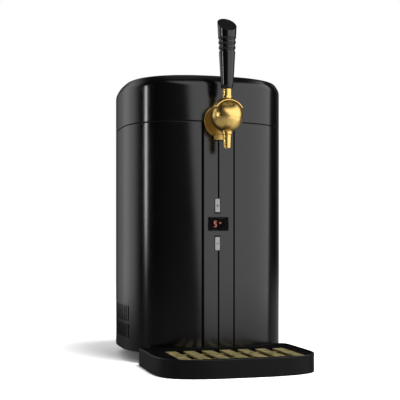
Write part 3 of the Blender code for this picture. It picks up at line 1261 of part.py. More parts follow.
def make_lid():
    """Hinged lid shell with its chamfered edge, lining and rear hinge."""
    side_top = LID_TOP_Z - CHAMFER_HEIGHT
    rings = [
        body_ring(WALL + CHAMFER_DEPTH, LID_TOP_Z - WALL),
        body_ring(WALL, side_top - WALL / 2),
        body_ring(WALL, LID_LOW_Z),
        body_ring(0, LID_LOW_Z),
        body_ring(0, side_top),
        body_ring(CHAMFER_DEPTH, LID_TOP_Z),
    ]
    pivot = (0, HINGE_Y, SEAM_Z)
    lid = loft("lid_shell", rings, "gloss_black", origin=pivot, smooth=30.0)
    cut(lid, shank_way)
    rings = [
        body_ring(WALL + GAP + LINING_WALL, LINING_TOP_Z - LINING_CEILING),
        body_ring(WALL + GAP + LINING_WALL, LINING_LOW_Z),
        body_ring(WALL + GAP, LINING_LOW_Z),
        body_ring(WALL + GAP, LINING_TOP_Z),
    ]
    lining = loft("lid_lining", rings, "liner_grey", origin=pivot)
    notch = block("cut_lining_notch", (-LINING_NOTCH_HALF, FAR_FRONT_Y, 0), (LINING_NOTCH_HALF, CHAMBER_Y, LINING_NOTCH_Z))
    cut(lining, notch)
    near = BODY_REAR_REACH + GAP
    far = near + HINGE_PLATE
    bracket = block("hinge_bracket", (-HINGE_HALF_INNER, near, SEAM_Z - HINGE_PLATE_DROP),
                    (HINGE_HALF_INNER, far, SHELL_TOP_Z), "matt_black")
    knuckle = rod("add_bracket_knuckle", HINGE_BARREL_RADIUS, (-HINGE_HALF_INNER, HINGE_Y, SEAM_Z),
                  (HINGE_HALF_INNER, HINGE_Y, SEAM_Z))
    join(bracket, knuckle)
    clear = rod("cut_pin_way_rear", HINGE_PIN_RADIUS + GAP, (-HINGE_HALF_OUTER - WALL, HINGE_Y, SEAM_Z),
                (HINGE_HALF_OUTER + WALL, HINGE_Y, SEAM_Z), steps=16)
    cut(bracket, clear)
    leaf_low = SEAM_Z + HINGE_BARREL_RADIUS + GAP
    leaf = block("hinge_leaf", (-HINGE_HALF_OUTER, near, leaf_low), (HINGE_HALF_OUTER, far, SEAM_Z + HINGE_LEAF_RISE),
                 "matt_black", origin=pivot)
    for side in (-1, 1):
        inner = side * (HINGE_HALF_INNER + GAP)
        outer = side * HINGE_HALF_OUTER
        arm = block("add_leaf_arm_%d" % (side + 1), (min(inner, outer), near, LID_LOW_Z),
                    (max(inner, outer), far, leaf_low + HINGE_EDGE))
        barrel = rod("add_leaf_barrel_%d" % (side + 1), HINGE_BARREL_RADIUS, (inner, HINGE_Y, SEAM_Z),
                     (outer, HINGE_Y, SEAM_Z))
        join(leaf, arm, barrel)
    cut(leaf, clear)
    rod("hinge_pin", HINGE_PIN_RADIUS, (-HINGE_HALF_OUTER, HINGE_Y, SEAM_Z), (HINGE_HALF_OUTER, HINGE_Y, SEAM_Z),
        "steel", origin=pivot, steps=16)


def make_tray():
    """Removable drip tray with posts and tongue, black grille frame and gilded bars."""
    rings = [
        tray_ring(TRAY_EDGE, 0),
        tray_ring(0, TRAY_EDGE),
        tray_ring(0, TRAY_HEIGHT - TRAY_EDGE),
        tray_ring(TRAY_EDGE, TRAY_HEIGHT),
    ]
    slide_origin = (0, FRONT_Y, 0)
    tray = loft("drip_tray", rings, "satin_black", origin=slide_origin)
    rings = [body_ring(-TRAY_BODY_GAP, -BODY_BASE_Z), body_ring(-TRAY_BODY_GAP, SEAM_Z)]
    housing_space = loft("cut_housing_space", rings)
    rings = [tray_ring(TRAY_WALL, TRAY_FLOOR), tray_ring(TRAY_WALL, SEAM_Z)]
    basin = loft("cut_basin", rings)
    rings = [body_ring(-TRAY_BODY_GAP - TRAY_WALL, -BODY_BASE_Z), body_ring(-TRAY_BODY_GAP - TRAY_WALL, LID_TOP_Z)]
    basin_rear = loft("cut_basin_rear", rings)
    cut(basin, basin_rear)
    cut(tray, housing_space, basin)
    tongue_front = FRONT_Y - TRAY_BODY_GAP - TRAY_WALL / 2
    tongue = block("add_tongue", (-TONGUE_HALF_WIDTH, tongue_front, TONGUE_LOW_Z),
                   (TONGUE_HALF_WIDTH, tongue_front + TONGUE_LENGTH, TONGUE_HIGH_Z))
    join(tray, tongue)
    frame_low = GRILLE_TOP_Z - GRILLE_THICKNESS
    spots = [(-POST_X, POST_FRONT_Y), (POST_X, POST_FRONT_Y), (-POST_X, POST_REAR_Y), (POST_X, POST_REAR_Y)]
    for number, (x, y) in enumerate(spots):
        join(tray, rod("add_post_%d" % number, POST_RADIUS, (x, y, TRAY_FLOOR / 2), (x, y, frame_low - GAP), steps=8))
    inset = TRAY_WALL + GAP
    frame = loft("grille_frame", [tray_ring(inset, frame_low), tray_ring(inset, GRILLE_TOP_Z)], "satin_black")
    rings = [body_ring(-TRAY_BODY_GAP - inset, -BODY_BASE_Z), body_ring(-TRAY_BODY_GAP - inset, SEAM_Z)]
    cut(frame, loft("cut_frame_rear", rings))
    span = (BAR_COUNT - 1) / 2 * BAR_PITCH + BAR_WIDTH / 2
    left = BAR_SHIFT - span
    right = BAR_SHIFT + span
    opening = block("cut_frame_window", (left - GAP, BAR_FRONT_Y - GAP, 0), (right + GAP, BAR_REAR_Y + GAP, SEAM_Z))
    cut(frame, opening)
    origin = (BAR_SHIFT, (BAR_FRONT_Y + BAR_REAR_Y) / 2, frame_low)
    bars = block("grille_bars", (left, BAR_FRONT_Y, frame_low - GAP - GAP / 2), (right, BAR_REAR_Y, GRILLE_TOP_Z),
                 "gold", origin=origin)
    gaps = []
    for index in range(BAR_COUNT - 1):
        x = left + BAR_WIDTH + index * BAR_PITCH
        near = (x, BAR_FRONT_Y - WALL, 0)
        gaps.append(block("gap", near, (x + BAR_PITCH - BAR_WIDTH, BAR_REAR_Y + WALL, SEAM_Z)))
    cut(bars, merged("cut_bar_gaps", gaps))
    starts = (BAR_FRONT_Y + RAIL_MARGIN, BAR_REAR_Y - RAIL_MARGIN - RAIL_WIDTH)
    for number, y in enumerate(starts):
        near = (left - RAIL_REACH, y, frame_low - GAP - RAIL_HEIGHT)
        far = (right + RAIL_REACH, y + RAIL_WIDTH, frame_low - GAP)
        join(bars, block("add_rail_%d" % number, near, far))


make_outer_shell()
make_base()
make_chamber()
make_cooling()
make_controls()
make_inlet()
make_tap_mount()
make_tap_body()
make_lever()
make_beer_line()
make_lid()
make_tray()
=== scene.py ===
"""Looks of the countertop draft beer dispenser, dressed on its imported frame."""

import json
import logging
import math
from dataclasses import dataclass
from enum import Enum

import bmesh
import bpy
import numpy as np
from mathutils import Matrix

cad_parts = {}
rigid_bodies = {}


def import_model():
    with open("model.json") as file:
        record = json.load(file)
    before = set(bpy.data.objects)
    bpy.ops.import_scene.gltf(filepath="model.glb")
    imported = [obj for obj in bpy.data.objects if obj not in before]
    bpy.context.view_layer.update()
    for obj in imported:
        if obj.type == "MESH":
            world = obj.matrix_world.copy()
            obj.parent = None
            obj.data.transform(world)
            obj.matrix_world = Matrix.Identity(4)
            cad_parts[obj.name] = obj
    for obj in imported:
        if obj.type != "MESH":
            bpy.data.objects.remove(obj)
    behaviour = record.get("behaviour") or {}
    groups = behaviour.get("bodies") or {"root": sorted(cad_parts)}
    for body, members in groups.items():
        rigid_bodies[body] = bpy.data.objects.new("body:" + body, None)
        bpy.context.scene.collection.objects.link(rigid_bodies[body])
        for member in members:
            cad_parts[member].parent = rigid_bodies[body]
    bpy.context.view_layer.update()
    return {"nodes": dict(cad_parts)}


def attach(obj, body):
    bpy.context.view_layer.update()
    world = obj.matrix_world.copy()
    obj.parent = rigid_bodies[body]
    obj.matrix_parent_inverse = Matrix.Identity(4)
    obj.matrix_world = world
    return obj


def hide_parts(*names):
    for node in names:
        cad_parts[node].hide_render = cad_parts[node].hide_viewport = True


LOG = logging.getLogger("beer_dispenser")

Array = np.ndarray
Line = np.ndarray | tuple[tuple[float, float], ...]
Colour = tuple[float, float, float]
Place = tuple[float, float, float]
Socket = bpy.types.NodeSocket

# The housing's upright axis in the frame; the machine's places below are counted from it
AXIS_Y = 0.0286

# Room between pieces, thickness of walls, smallest corner radius
GAP = 0.0004
WALL = 0.0030
TINY = 0.00005

# Height of the seam under the lid, half its width, and the faces of the housing on its axis
SEAM_Z = 0.3353
SEAM_HALF = 0.00055
FRONT_Y = -0.1021
REAR_Y = 0.1590

# Middle and radius of the tap's ball, bores for the shank and the pin, angle that the lever swings
BALL_Y = FRONT_Y - 0.0375
BALL_Z = SEAM_Z + 0.0026
BALL_RADIUS = 0.0218
SHANK_HOLE = 0.0083
SHANK_BORE = 0.0079
PIN_BORE = 0.0020
SWING = math.radians(34.0)

# Distances within which points are one
MERGE = 0.0000015
FLAT = 0.000001
MERGE_PACKED = 0.000002


class Body(Enum):
    """The bodies that new pieces ride on."""

    HOUSING = "housing"
    LID = "lid"
    LEVER = "lever"
    PLUS = "plus"
    MINUS = "minus"
    ROCKER = "rocker"
    TRAY = "tray"
    GRILLE = "grille"


class Carve(Enum):
    """The ways in which one solid works on another."""

    CUT = "DIFFERENCE"
    ADD = "UNION"
    KEEP = "INTERSECT"


class Axis(Enum):
    """The directions about which a profile can be turned, with their coordinate's number."""

    ACROSS = 0
    ALONG = 1
    UP = 2


class Grain(Enum):
    """How the fine grain of a finish is stretched: even, or drawn out one way."""

    EVEN = (1.0, 1.0, 1.0)
    BRUSHED_UP = (1.0, 1.0, 0.06)
    BRUSHED_ALONG = (1.0, 0.05, 1.0)


# Surfaces


@dataclass
class Skin:
    """Points of a surface in the housing frame, and the faces between them."""

    points: Array
    faces: list[list[int]]


def grid_faces(rows: int, columns: int, looped: bool) -> Array:
    """Numbers the four-sided faces of a grid whose columns close on themselves.

    Args:
        rows: Number of rings.
        columns: Number of points on each ring.
        looped: Whether the last ring joins the first.

    Returns:
        One row of four point numbers for each face.
    """
    row = np.arange(rows if looped else rows - 1)[:, None]
    column = np.arange(columns)[None, :]
    after = (column + 1) % columns
    above = (row + 1) % rows
    corners = (row * columns + column, row * columns + after, above * columns + after,
               above * columns + column)
    return np.stack(np.broadcast_arrays(*corners), axis=-1).reshape(-1, 4)


def loft(rings: Array, looped: bool = False) -> Skin:
    """Skins rings of equal count: ring r, point c joins ring r + 1, point c; open ends get flat caps.

    Args:
        rings: Array of rings, points and coordinates.
        looped: Whether the last ring joins the first, as on a tube wall.

    Returns:
        The closed surface.
    """
    rows, columns, _ = rings.shape
    faces = grid_faces(rows, columns, looped).tolist()
    if not looped:
        faces.append(list(range(columns))[::-1])
        faces.append(list(range((rows - 1) * columns, rows * columns)))
    return Skin(rings.reshape(-1, 3), faces)


def held(line: Line, reach: float = 0.0003) -> Array:
    """Adds a point near both ends of each long side, so that the shading of a rounded corner stays at it.

    Args:
        line: The points of the line.
        reach: How far from the ends.

    Returns:
        The line with the added points.
    """
    line = np.asarray(line, dtype=float)
    side = np.diff(line, axis=0)
    length = np.linalg.norm(side, axis=1)
    step = side * (reach / np.maximum(length, reach))[:, None]
    points = np.stack((line[:-1], line[:-1] + step, line[1:] - step), axis=1)
    long = length > 5 * reach
    return np.vstack((points[np.column_stack((np.ones_like(long), long, long))], line[-1:]))


def soften(corners: Line, radius: float, steps: int = 4, closed: bool = False) -> Array:
    """Rounds the corners of a line: corner P becomes the curve (1-t)^2 A + 2t(1-t) P + t^2 B.

    A and B lie on the two sides next to the corner, and t runs from 0 to 1.

    Args:
        corners: The corner points of the line.
        radius: How far from each corner its curve starts, where the sides are long enough.
        steps: Number of spans on each curve.
        closed: Whether the line closes on itself.

    Returns:
        The points of the rounded line.
    """
    corners = np.asarray(corners, dtype=float)
    before = np.roll(corners, 1, axis=0) - corners
    ahead = np.roll(corners, -1, axis=0) - corners
    long_before = np.linalg.norm(before, axis=1, keepdims=True)
    long_ahead = np.linalg.norm(ahead, axis=1, keepdims=True)
    start = corners + before * np.minimum(radius / np.maximum(long_before, 1e-9), 0.45)
    end = corners + ahead * np.minimum(radius / np.maximum(long_ahead, 1e-9), 0.45)
    share = np.linspace(0, 1, steps + 1)[None, :, None]
    bend = 2 * share * (1 - share) * corners[:, None]
    curves = (1 - share) ** 2 * start[:, None] + bend + share ** 2 * end[:, None]
    if closed:
        return curves.reshape(-1, 2)
    return np.vstack((corners[:1], curves[1:-1].reshape(-1, 2), corners[-1:]))


def turned(profile: Line, centre: Place, axis: Axis, steps: int = 96, looped: bool = False) -> Skin:
    """Turns a profile about an axis: radius r and distance d become r cos a, r sin a and d for each angle a.

    Args:
        profile: Pairs of radius and distance along the axis.
        centre: A point on the axis; distances count from it.
        axis: Direction of the axis.
        steps: Number of angles.
        looped: Whether the profile closes on itself, as on a ring.

    Returns:
        The closed surface, with its poles as merged points.
    """
    profile = held(profile)
    angle = np.linspace(0, math.tau, steps, endpoint=False)
    radius = profile[:, 0][:, None]
    along = np.broadcast_to(profile[:, 1][:, None], (len(profile), steps))
    rings = np.stack((radius * np.cos(angle), radius * np.sin(angle), along), axis=-1)
    return loft(np.roll(rings, axis.value + 1, axis=-1) + np.array(centre), looped)


def rod(radius: float, low: float, high: float, centre: Place, axis: Axis, steps: int = 96) -> Skin:
    """Builds a round rod: the circle of the radius about the axis, carried from the low to the high distance.

    Args:
        radius: Radius of the rod.
        low: Distance along the axis where it starts.
        high: Distance where it ends.
        centre: A point on the axis; distances count from it.
        axis: Direction of the axis.
        steps: Number of angles.

    Returns:
        The closed rod.
    """
    return turned(((0, low), (radius, low), (radius, high), (0, high)), centre, axis, steps)


def sphere(radius: float, centre: Place, spans: int, steps: int) -> Skin:
    """Builds a sphere about an upright axis: radius r cos b at height r sin b for each slope b.

    Args:
        radius: Radius of the sphere.
        centre: Its middle.
        spans: Number of spans from pole to pole.
        steps: Number of angles round the axis.

    Returns:
        The closed sphere.
    """
    slope = np.linspace(-math.pi / 2, math.pi / 2, spans + 1)
    return turned(np.column_stack((radius * np.cos(slope), radius * np.sin(slope))), centre, Axis.UP, steps)


def rounded_box(half_a: float, half_b: float, corner: float, steps: int = 6) -> Array:
    """Gives a rounded rectangle: each quarter circle of the corner radius sits on its own corner centre.

    Args:
        half_a: Half size in the first direction.
        half_b: Half size in the second direction.
        corner: Corner radius.
        steps: Number of spans on each corner.

    Returns:
        Pairs of coordinates, anticlockwise.
    """
    angle = np.linspace(0, math.pi / 2, steps + 1)
    turn = (np.arange(4) * math.pi / 2)[:, None] + angle
    sign_a = np.array((1, -1, -1, 1))[:, None]
    sign_b = np.array((1, 1, -1, -1))[:, None]
    first = sign_a * (half_a - corner) + corner * np.cos(turn)
    second = sign_b * (half_b - corner) + corner * np.sin(turn)
    return np.stack((first, second), axis=-1).reshape(-1, 2)


def slab(half_a: float, half_b: float, corner: float, profile: Line, centre: Place, axis: Axis) -> Skin:
    """Builds a plate with shaped edges: ring k is the rounded rectangle moved in by inset k, at level k.

    Args:
        half_a: Half size in the first direction square to the axis.
        half_b: Half size in the second direction square to the axis.
        corner: Corner radius at no inset.
        profile: Pairs of inset and level along the axis.
        centre: Middle of the plate; levels count from it.
        axis: Direction of the plate's thickness.

    Returns:
        The closed plate.
    """
    rings = []
    for inset, level in held(profile):
        flat = rounded_box(half_a - inset, half_b - inset, max(corner - inset, TINY))
        rings.append(np.insert(flat, axis.value, level, axis=1))
    return loft(np.array(rings) + np.array(centre))


def box(low: Place, high: Place, edge: float = 0.0) -> Skin:
    """Builds a box between two corners, with every upright edge and rim eased by the edge size.

    Args:
        low: Lowest corner.
        high: Highest corner.
        edge: Size of the easing.

    Returns:
        The closed box.
    """
    half = (np.array(high) - np.array(low)) / 2
    profile = ((0, -half[2]), (0, half[2]))
    if edge:
        profile = soften(((edge, -half[2]), *profile, (edge, half[2])), edge)
    return slab(half[0], half[1], max(edge, TINY), profile, (np.array(high) + np.array(low)) / 2, Axis.UP)


# Outlines


def even_line(points: Array, count: int) -> Array:
    """Respaces a closed line: point k lies at share k / count of the distance along it.

    Args:
        points: Pairs of x and y.
        count: Number of points wanted.

    Returns:
        The new points.
    """
    ring = np.vstack((points, points[:1]))
    travel = np.concatenate(([0], np.cumsum(np.linalg.norm(np.diff(ring, axis=0), axis=1))))
    wanted = np.linspace(0, travel[-1], count, endpoint=False)
    return np.column_stack((np.interp(wanted, travel, ring[:, 0]), np.interp(wanted, travel, ring[:, 1])))


def inward(points: Array) -> Array:
    """Gives unit directions into a closed anticlockwise outline: the local tangent turned a quarter left.

    Args:
        points: Pairs of x and y.

    Returns:
        One direction for each point.
    """
    ahead = np.roll(points, -1, axis=0) - np.roll(points, 1, axis=0)
    ahead /= np.linalg.norm(ahead, axis=1, keepdims=True)
    return np.column_stack((-ahead[:, 1], ahead[:, 0]))


def stacked(points: Array, normals: Array, profile: Line) -> Array:
    """Gives rings of an outline: ring k is the outline plus its inward directions times inset k, at level k.

    Args:
        points: Pairs of x and y.
        normals: Inward directions at those points.
        profile: Pairs of inset and level.

    Returns:
        Array of rings, points and coordinates.
    """
    profile = np.asarray(profile, dtype=float)
    flat = points[None] + normals[None] * profile[:, 0][:, None, None]
    level = np.broadcast_to(profile[:, 1][:, None, None], (len(profile), len(points), 1))
    return np.concatenate((flat, level), axis=-1)


@dataclass(frozen=True)
class Plan:
    """Plan of the housing: superellipse halves in front and behind, with upright grooves in the front."""

    half_width: float = 0.1166
    front_reach: float = -FRONT_Y
    rear_reach: float = REAR_Y
    width_power: float = 2.46
    front_power: float = 2.39
    rear_power: float = 2.90
    count: int = 560
    # Middle and width of each groove, left to right
    grooves: tuple[tuple[float, float], ...] = ((-0.0229, 0.0036), (-0.0005, 0.0022), (0.0221, 0.0022))
    groove_depth: float = 0.0018
    # Points across a groove's edge, in shares of its half width, and how far to each side points are close
    edge_steps: tuple[float, ...] = (0.78, 0.84, 0.90, 0.95, 1.0, 1.04, 1.10)
    fine_reach: float = 0.0440
    fine_count: int = 28

    def front_y(self, x: Array) -> Array:
        """Front face: -reach (1 - |x / half width|^p)^(1 / q)."""
        share = np.abs(x) / self.half_width
        return -self.front_reach * (1 - share ** self.width_power) ** (1 / self.front_power)

    def rear_y(self, x: Array) -> Array:
        """Rear face: reach (1 - |x / half width|^p)^(1 / q)."""
        share = np.abs(x) / self.half_width
        return self.rear_reach * (1 - share ** self.width_power) ** (1 / self.rear_power)

    def outline(self) -> Array:
        """Gives the plan anticlockwise, even all round and finer across the grooves.

        At angle a, x is the half width times sin^(2 / p) a, and y is the reach times cos^(2 / q) a.

        Returns:
            Pairs of x and y, starting left of the front grooves.
        """
        angle = np.linspace(0, math.pi / 2, self.count)
        across = self.half_width * np.sin(angle) ** (2 / self.width_power)
        front = np.column_stack((across, -self.front_reach * np.cos(angle) ** (2 / self.front_power)))
        rear = np.column_stack((across, self.rear_reach * np.cos(angle) ** (2 / self.rear_power)))
        right = np.vstack((front, rear[::-1][1:]))
        ring = even_line(np.vstack((right, right[::-1][1:] * (-1, 1))), self.count)
        keep = (np.abs(ring[:, 0]) > self.fine_reach) | (ring[:, 1] > 0)
        start = int(np.argmax(keep & (ring[:, 0] > 0)))
        rest = np.roll(ring, -start, axis=0)[np.roll(keep, -start)]
        steps = np.array(self.edge_steps)
        share = np.concatenate((-steps[::-1], (0,), steps))
        centres, widths = np.array(self.grooves).T
        fine = (centres[:, None] + share * widths[:, None] / 2).ravel()
        plain = np.arange(-self.fine_reach, self.fine_reach + 0.0001, self.fine_reach / self.fine_count)
        clear = np.all(np.abs(plain[:, None] - centres) > widths * 0.7, axis=1)
        x = np.sort(np.concatenate((fine, plain[clear])))
        return np.vstack((np.column_stack((x, self.front_y(x))), rest))

    def groove(self, points: Array) -> Array:
        """Depth share of the grooves at each point, 1 on a groove floor: smooth step across each groove edge.

        Args:
            points: Pairs of x and y on the plan.

        Returns:
            One column for each groove, left to right.
        """
        centres, widths = np.array(self.grooves).T
        share = np.abs(points[:, :1] - centres) / (widths / 2)
        step = np.clip((1.04 - share) / 0.20, 0, 1)
        front = (points[:, 1] < 0)[:, None]
        return step * step * (3 - 2 * step) * front


PLAN = Plan()
OUTLINE = PLAN.outline()
INWARD = inward(OUTLINE)
FINE_OUTLINE = even_line(OUTLINE, 480)
FINE_INWARD = inward(FINE_OUTLINE)


# Mesh work


def mesh_piece(name: str, *skins: Skin) -> bpy.types.Object:
    """Makes one object of closed surfaces, its place in its mesh, with merged poles and outward faces.

    Args:
        name: Name of the object.
        *skins: The surfaces, in the housing frame.

    Returns:
        The new object, linked to the scene.
    """
    mesh = bpy.data.meshes.new(name)
    points = []
    faces = []
    for skin in skins:
        faces.extend([[number + len(points) for number in face] for face in skin.faces])
        points.extend((skin.points + (0.0, AXIS_Y, 0.0)).tolist())
    mesh.from_pydata(points, [], faces)
    item = bpy.data.objects.new(name, mesh)
    bpy.context.scene.collection.objects.link(item)
    clean_mesh(item)
    return item


def clean_mesh(item: bpy.types.Object) -> None:
    """Merges doubled points of a mesh, drops flattened faces and turns the faces outwards.

    Args:
        item: The object whose mesh is cleaned.
    """
    shape = bmesh.new()
    shape.from_mesh(item.data)
    bmesh.ops.remove_doubles(shape, verts=shape.verts, dist=MERGE)
    bmesh.ops.dissolve_degenerate(shape, edges=shape.edges, dist=FLAT)
    bmesh.ops.recalc_face_normals(shape, faces=shape.faces)
    shape.to_mesh(item.data)
    shape.free()


def settle(item: bpy.types.Object) -> None:
    """Puts the result of an object's modifiers into its own mesh.

    Args:
        item: The object.
    """
    graph = bpy.context.evaluated_depsgraph_get()
    graph.update()
    mesh = bpy.data.meshes.new_from_object(item.evaluated_get(graph))
    item.modifiers.clear()
    old = item.data
    item.data = mesh
    bpy.data.meshes.remove(old)
    mesh.name = item.name


def combine(item: bpy.types.Object, tool: bpy.types.Object, how: Carve) -> None:
    """Works on an object with another one, which is used up.

    Args:
        item: The object to change.
        tool: The object that works on it.
        how: Whether its solid is cut away, added or kept.
    """
    step = item.modifiers.new("carve", "BOOLEAN")
    step.operation = how.value
    step.solver = "EXACT"
    step.object = tool
    settle(item)
    bpy.data.objects.remove(tool, do_unlink=True)


def carve(item: bpy.types.Object, *skins: Skin, how: Carve = Carve.CUT) -> None:
    """Works on an object with closed surfaces that don't touch each other.

    Args:
        item: The object to change.
        *skins: The surfaces to cut away, add or keep.
        how: Which of the three.
    """
    combine(item, mesh_piece("carving_tool", *skins), how)


def ease_edges(item: bpy.types.Object, width: float, segments: int = 2) -> None:
    """Rounds the sharp edges of an object.

    Args:
        item: The object to change.
        width: Width of the rounding.
        segments: Number of faces across it.
    """
    step = item.modifiers.new("ease", "BEVEL")
    step.width = width
    step.segments = segments
    step.limit_method = "ANGLE"
    step.angle_limit = math.radians(35.0)
    step.miter_outer = "MITER_ARC"
    settle(item)


# Finishes


class NodeBench:
    """Places and joins the nodes of one node tree."""

    def __init__(self, tree: bpy.types.NodeTree) -> None:
        """Starts with an empty tree."""
        self.tree = tree
        tree.nodes.clear()

    def feed(self, target: Socket, value: object) -> None:
        """Joins a socket to an input, or sets the input to a number, a vector or a colour.

        Args:
            target: The input.
            value: Socket, number or triple.
        """
        if isinstance(value, Socket):
            self.tree.links.new(value, target)
        elif target.type == "RGBA":
            target.default_value = (*value, 1.0)
        else:
            target.default_value = value

    def node(self, kind: str, **settings: object) -> bpy.types.Node:
        """Places a node and sets its properties, and feeds its inputs where the name is an input's.

        Args:
            kind: Type of the node.
            **settings: Properties by name, and inputs by their name with _ for spaces.

        Returns:
            The new node.
        """
        made = self.tree.nodes.new(kind)
        for name, value in settings.items():
            if hasattr(made, name):
                setattr(made, name, value)
            else:
                self.feed(made.inputs[name.replace("_", " ")], value)
        return made

    def wired(self, kind: str, values: tuple, **settings: object) -> Socket:
        """Places a node and feeds its first inputs in order.

        Args:
            kind: Type of the node.
            values: Sockets or numbers.
            **settings: Properties by name.

        Returns:
            Its first output.
        """
        made = self.node(kind, **settings)
        for target, value in zip(made.inputs, values):
            self.feed(target, value)
        return made.outputs[0]

    def maths(self, operation: str, first: object, second: object = 0.0) -> Socket:
        """Places a Math node and gives its result."""
        return self.wired("ShaderNodeMath", (first, second), operation=operation)

    def times(self, first: object, second: object) -> Socket:
        """Multiplies two sockets or numbers."""
        return self.maths("MULTIPLY", first, second)

    def plus(self, first: object, second: object) -> Socket:
        """Adds two sockets or numbers."""
        return self.maths("ADD", first, second)

    def mix(self, share: Socket, first: Socket, second: Socket) -> Socket:
        """Places a Mix Shader node: the first shader at share 0, the second at 1."""
        return self.wired("ShaderNodeMixShader", (share, first, second))

    def span(self, value: Socket, low: float, high: float, to_low: float, to_high: float) -> Socket:
        """Places a smooth Map Range node.

        Args:
            value: Socket to map.
            low: Value that maps to to_low.
            high: Value that maps to to_high.
            to_low: Result at low and below.
            to_high: Result at high and above.

        Returns:
            The result's socket.
        """
        values = (value, low, high, to_low, to_high)
        return self.wired("ShaderNodeMapRange", values, interpolation_type="SMOOTHSTEP")

    def blend(self, share: object, first: object, second: object) -> Socket:
        """Places a colour Mix node.

        Args:
            share: Socket or number, 0 for the first colour.
            first: Socket or colour.
            second: Socket or colour.

        Returns:
            The result's socket.
        """
        made = self.node("ShaderNodeMix", data_type="RGBA")
        for number, value in ((0, share), (6, first), (7, second)):
            self.feed(made.inputs[number], value)
        return made.outputs[2]

    def noise(self, spot: Socket, scale: Socket, detail: float, roughness: float = 0.5) -> Socket:
        """Places a Noise Texture node.

        Args:
            spot: The coordinates it reads.
            scale: Its scale.
            detail: Number of finer layers.
            roughness: Weight of the finer layers.

        Returns:
            The value's socket.
        """
        settings = {"Vector": spot, "Scale": scale, "Detail": detail, "Roughness": roughness}
        return self.node("ShaderNodeTexNoise", **settings).outputs[0]

    def group(self, tree: bpy.types.NodeTree, spot: Socket,
              **values: object) -> bpy.types.bpy_prop_collection:
        """Places a shared group.

        Args:
            tree: The group.
            spot: The coordinates it reads.
            **values: Its other inputs by name.

        Returns:
            Its outputs by name.
        """
        return self.node("ShaderNodeGroup", node_tree=tree, Vector=spot, **values).outputs


class Effects:
    """The shared node groups: cloud, grain, edge wear and settled dust."""

    def __init__(self) -> None:
        """Builds each group once."""
        self.cloud = self.make_cloud()
        self.grain = self.make_grain()
        self.wear = self.make_wear()
        self.dust = self.make_dust()

    @staticmethod
    def start(name: str, inputs: dict[str, str], outputs: tuple[str, ...]) -> tuple:
        """Makes a group that reads coordinates and a scale.

        Args:
            name: Name of the group.
            inputs: Type of its further input sockets, by name.
            outputs: Names of its number outputs.

        Returns:
            The group, a bench for it, what it is given and what it gives.
        """
        group = bpy.data.node_groups.new(name, "ShaderNodeTree")
        for title, kind in {"Vector": "NodeSocketVector", "Scale": "NodeSocketFloat", **inputs}.items():
            group.interface.new_socket(name=title, in_out="INPUT", socket_type=kind)
        for title in outputs:
            group.interface.new_socket(name=title, in_out="OUTPUT", socket_type="NodeSocketFloat")
        bench = NodeBench(group)
        return group, bench, bench.node("NodeGroupInput").outputs, bench.node("NodeGroupOutput").inputs

    def make_cloud(self) -> bpy.types.NodeTree:
        """Slow cloudy variation from two sizes of noise, as a value from 0 to 1.

        Returns:
            The group.
        """
        group, bench, given, gives = self.start("cloudy_variation", {}, ("Value",))
        wide = bench.noise(given["Vector"], given["Scale"], 4.0, 0.55)
        near = bench.noise(given["Vector"], bench.times(given["Scale"], 4.3), 2.0)
        both = bench.plus(bench.times(wide, 0.7), bench.times(near, 0.3))
        bench.feed(gives["Value"], bench.span(both, 0.36, 0.64, 0.0, 1.0))
        return group

    def make_grain(self) -> bpy.types.NodeTree:
        """Fine grain, drawn out by the stretch, as a value from 0 to 1 and a height in metres.

        Returns:
            The group.
        """
        sockets = {"Stretch": "NodeSocketVector", "Relief": "NodeSocketFloat"}
        group, bench, given, gives = self.start("fine_grain", sockets, ("Value", "Height"))
        drawn = bench.wired("ShaderNodeVectorMath", (given["Vector"], given["Stretch"]), operation="MULTIPLY")
        noise = bench.noise(drawn, given["Scale"], 3.0, 0.6)
        bench.feed(gives["Value"], bench.span(noise, 0.3, 0.7, 0.0, 1.0))
        bench.feed(gives["Height"], bench.times(noise, given["Relief"]))
        return group

    def make_wear(self) -> bpy.types.NodeTree:
        """Wear on outward edges, broken up by noise, as a mask.

        Returns:
            The group.
        """
        group, bench, given, gives = self.start("edge_wear", {"Amount": "NodeSocketFloat"}, ("Mask",))
        noise = bench.noise(given["Vector"], given["Scale"], 5.0, 0.65)
        edge = bench.span(bench.node("ShaderNodeNewGeometry").outputs["Pointiness"], 0.52, 0.60, 0.0, 1.0)
        rubbed = bench.times(edge, bench.span(noise, 0.40, 0.62, 0.0, 1.0))
        bench.feed(gives["Mask"], bench.times(rubbed, given["Amount"]))
        return group

    def make_dust(self) -> bpy.types.NodeTree:
        """Dust and dried marks that lie on upward faces, as a mask.

        Returns:
            The group.
        """
        group, bench, given, gives = self.start("settled_dust", {"Amount": "NodeSocketFloat"}, ("Mask",))
        facing = bench.node("ShaderNodeNewGeometry").outputs["Normal"]
        parts = bench.node("ShaderNodeSeparateXYZ", Vector=facing)
        noise = bench.noise(given["Vector"], given["Scale"], 6.0, 0.7)
        lying = bench.span(parts.outputs[2], 0.2, 1.0, 0.08, 1.0)
        marks = bench.times(lying, bench.span(noise, 0.42, 0.75, 0.0, 1.0))
        bench.feed(gives["Mask"], bench.times(marks, given["Amount"]))
        return group


def fresh_material(name: str) -> tuple[bpy.types.Material, NodeBench, Socket]:
    """Makes an empty material.

    Args:
        name: Name of the material.

    Returns:
        The material, a bench for it and the object's coordinates.
    """
    material = bpy.data.materials.new(name)
    material.use_nodes = True
    bench = NodeBench(material.node_tree)
    return material, bench, bench.node("ShaderNodeTexCoord").outputs["Object"]


def scaled(colour: Colour, share: float) -> Colour:
    """Darkens a colour to a share of its brightness."""
    return tuple(share * part for part in colour)


def grey(level: float) -> Colour:
    """Gives the neutral grey of a brightness."""
    return (level, level, level)


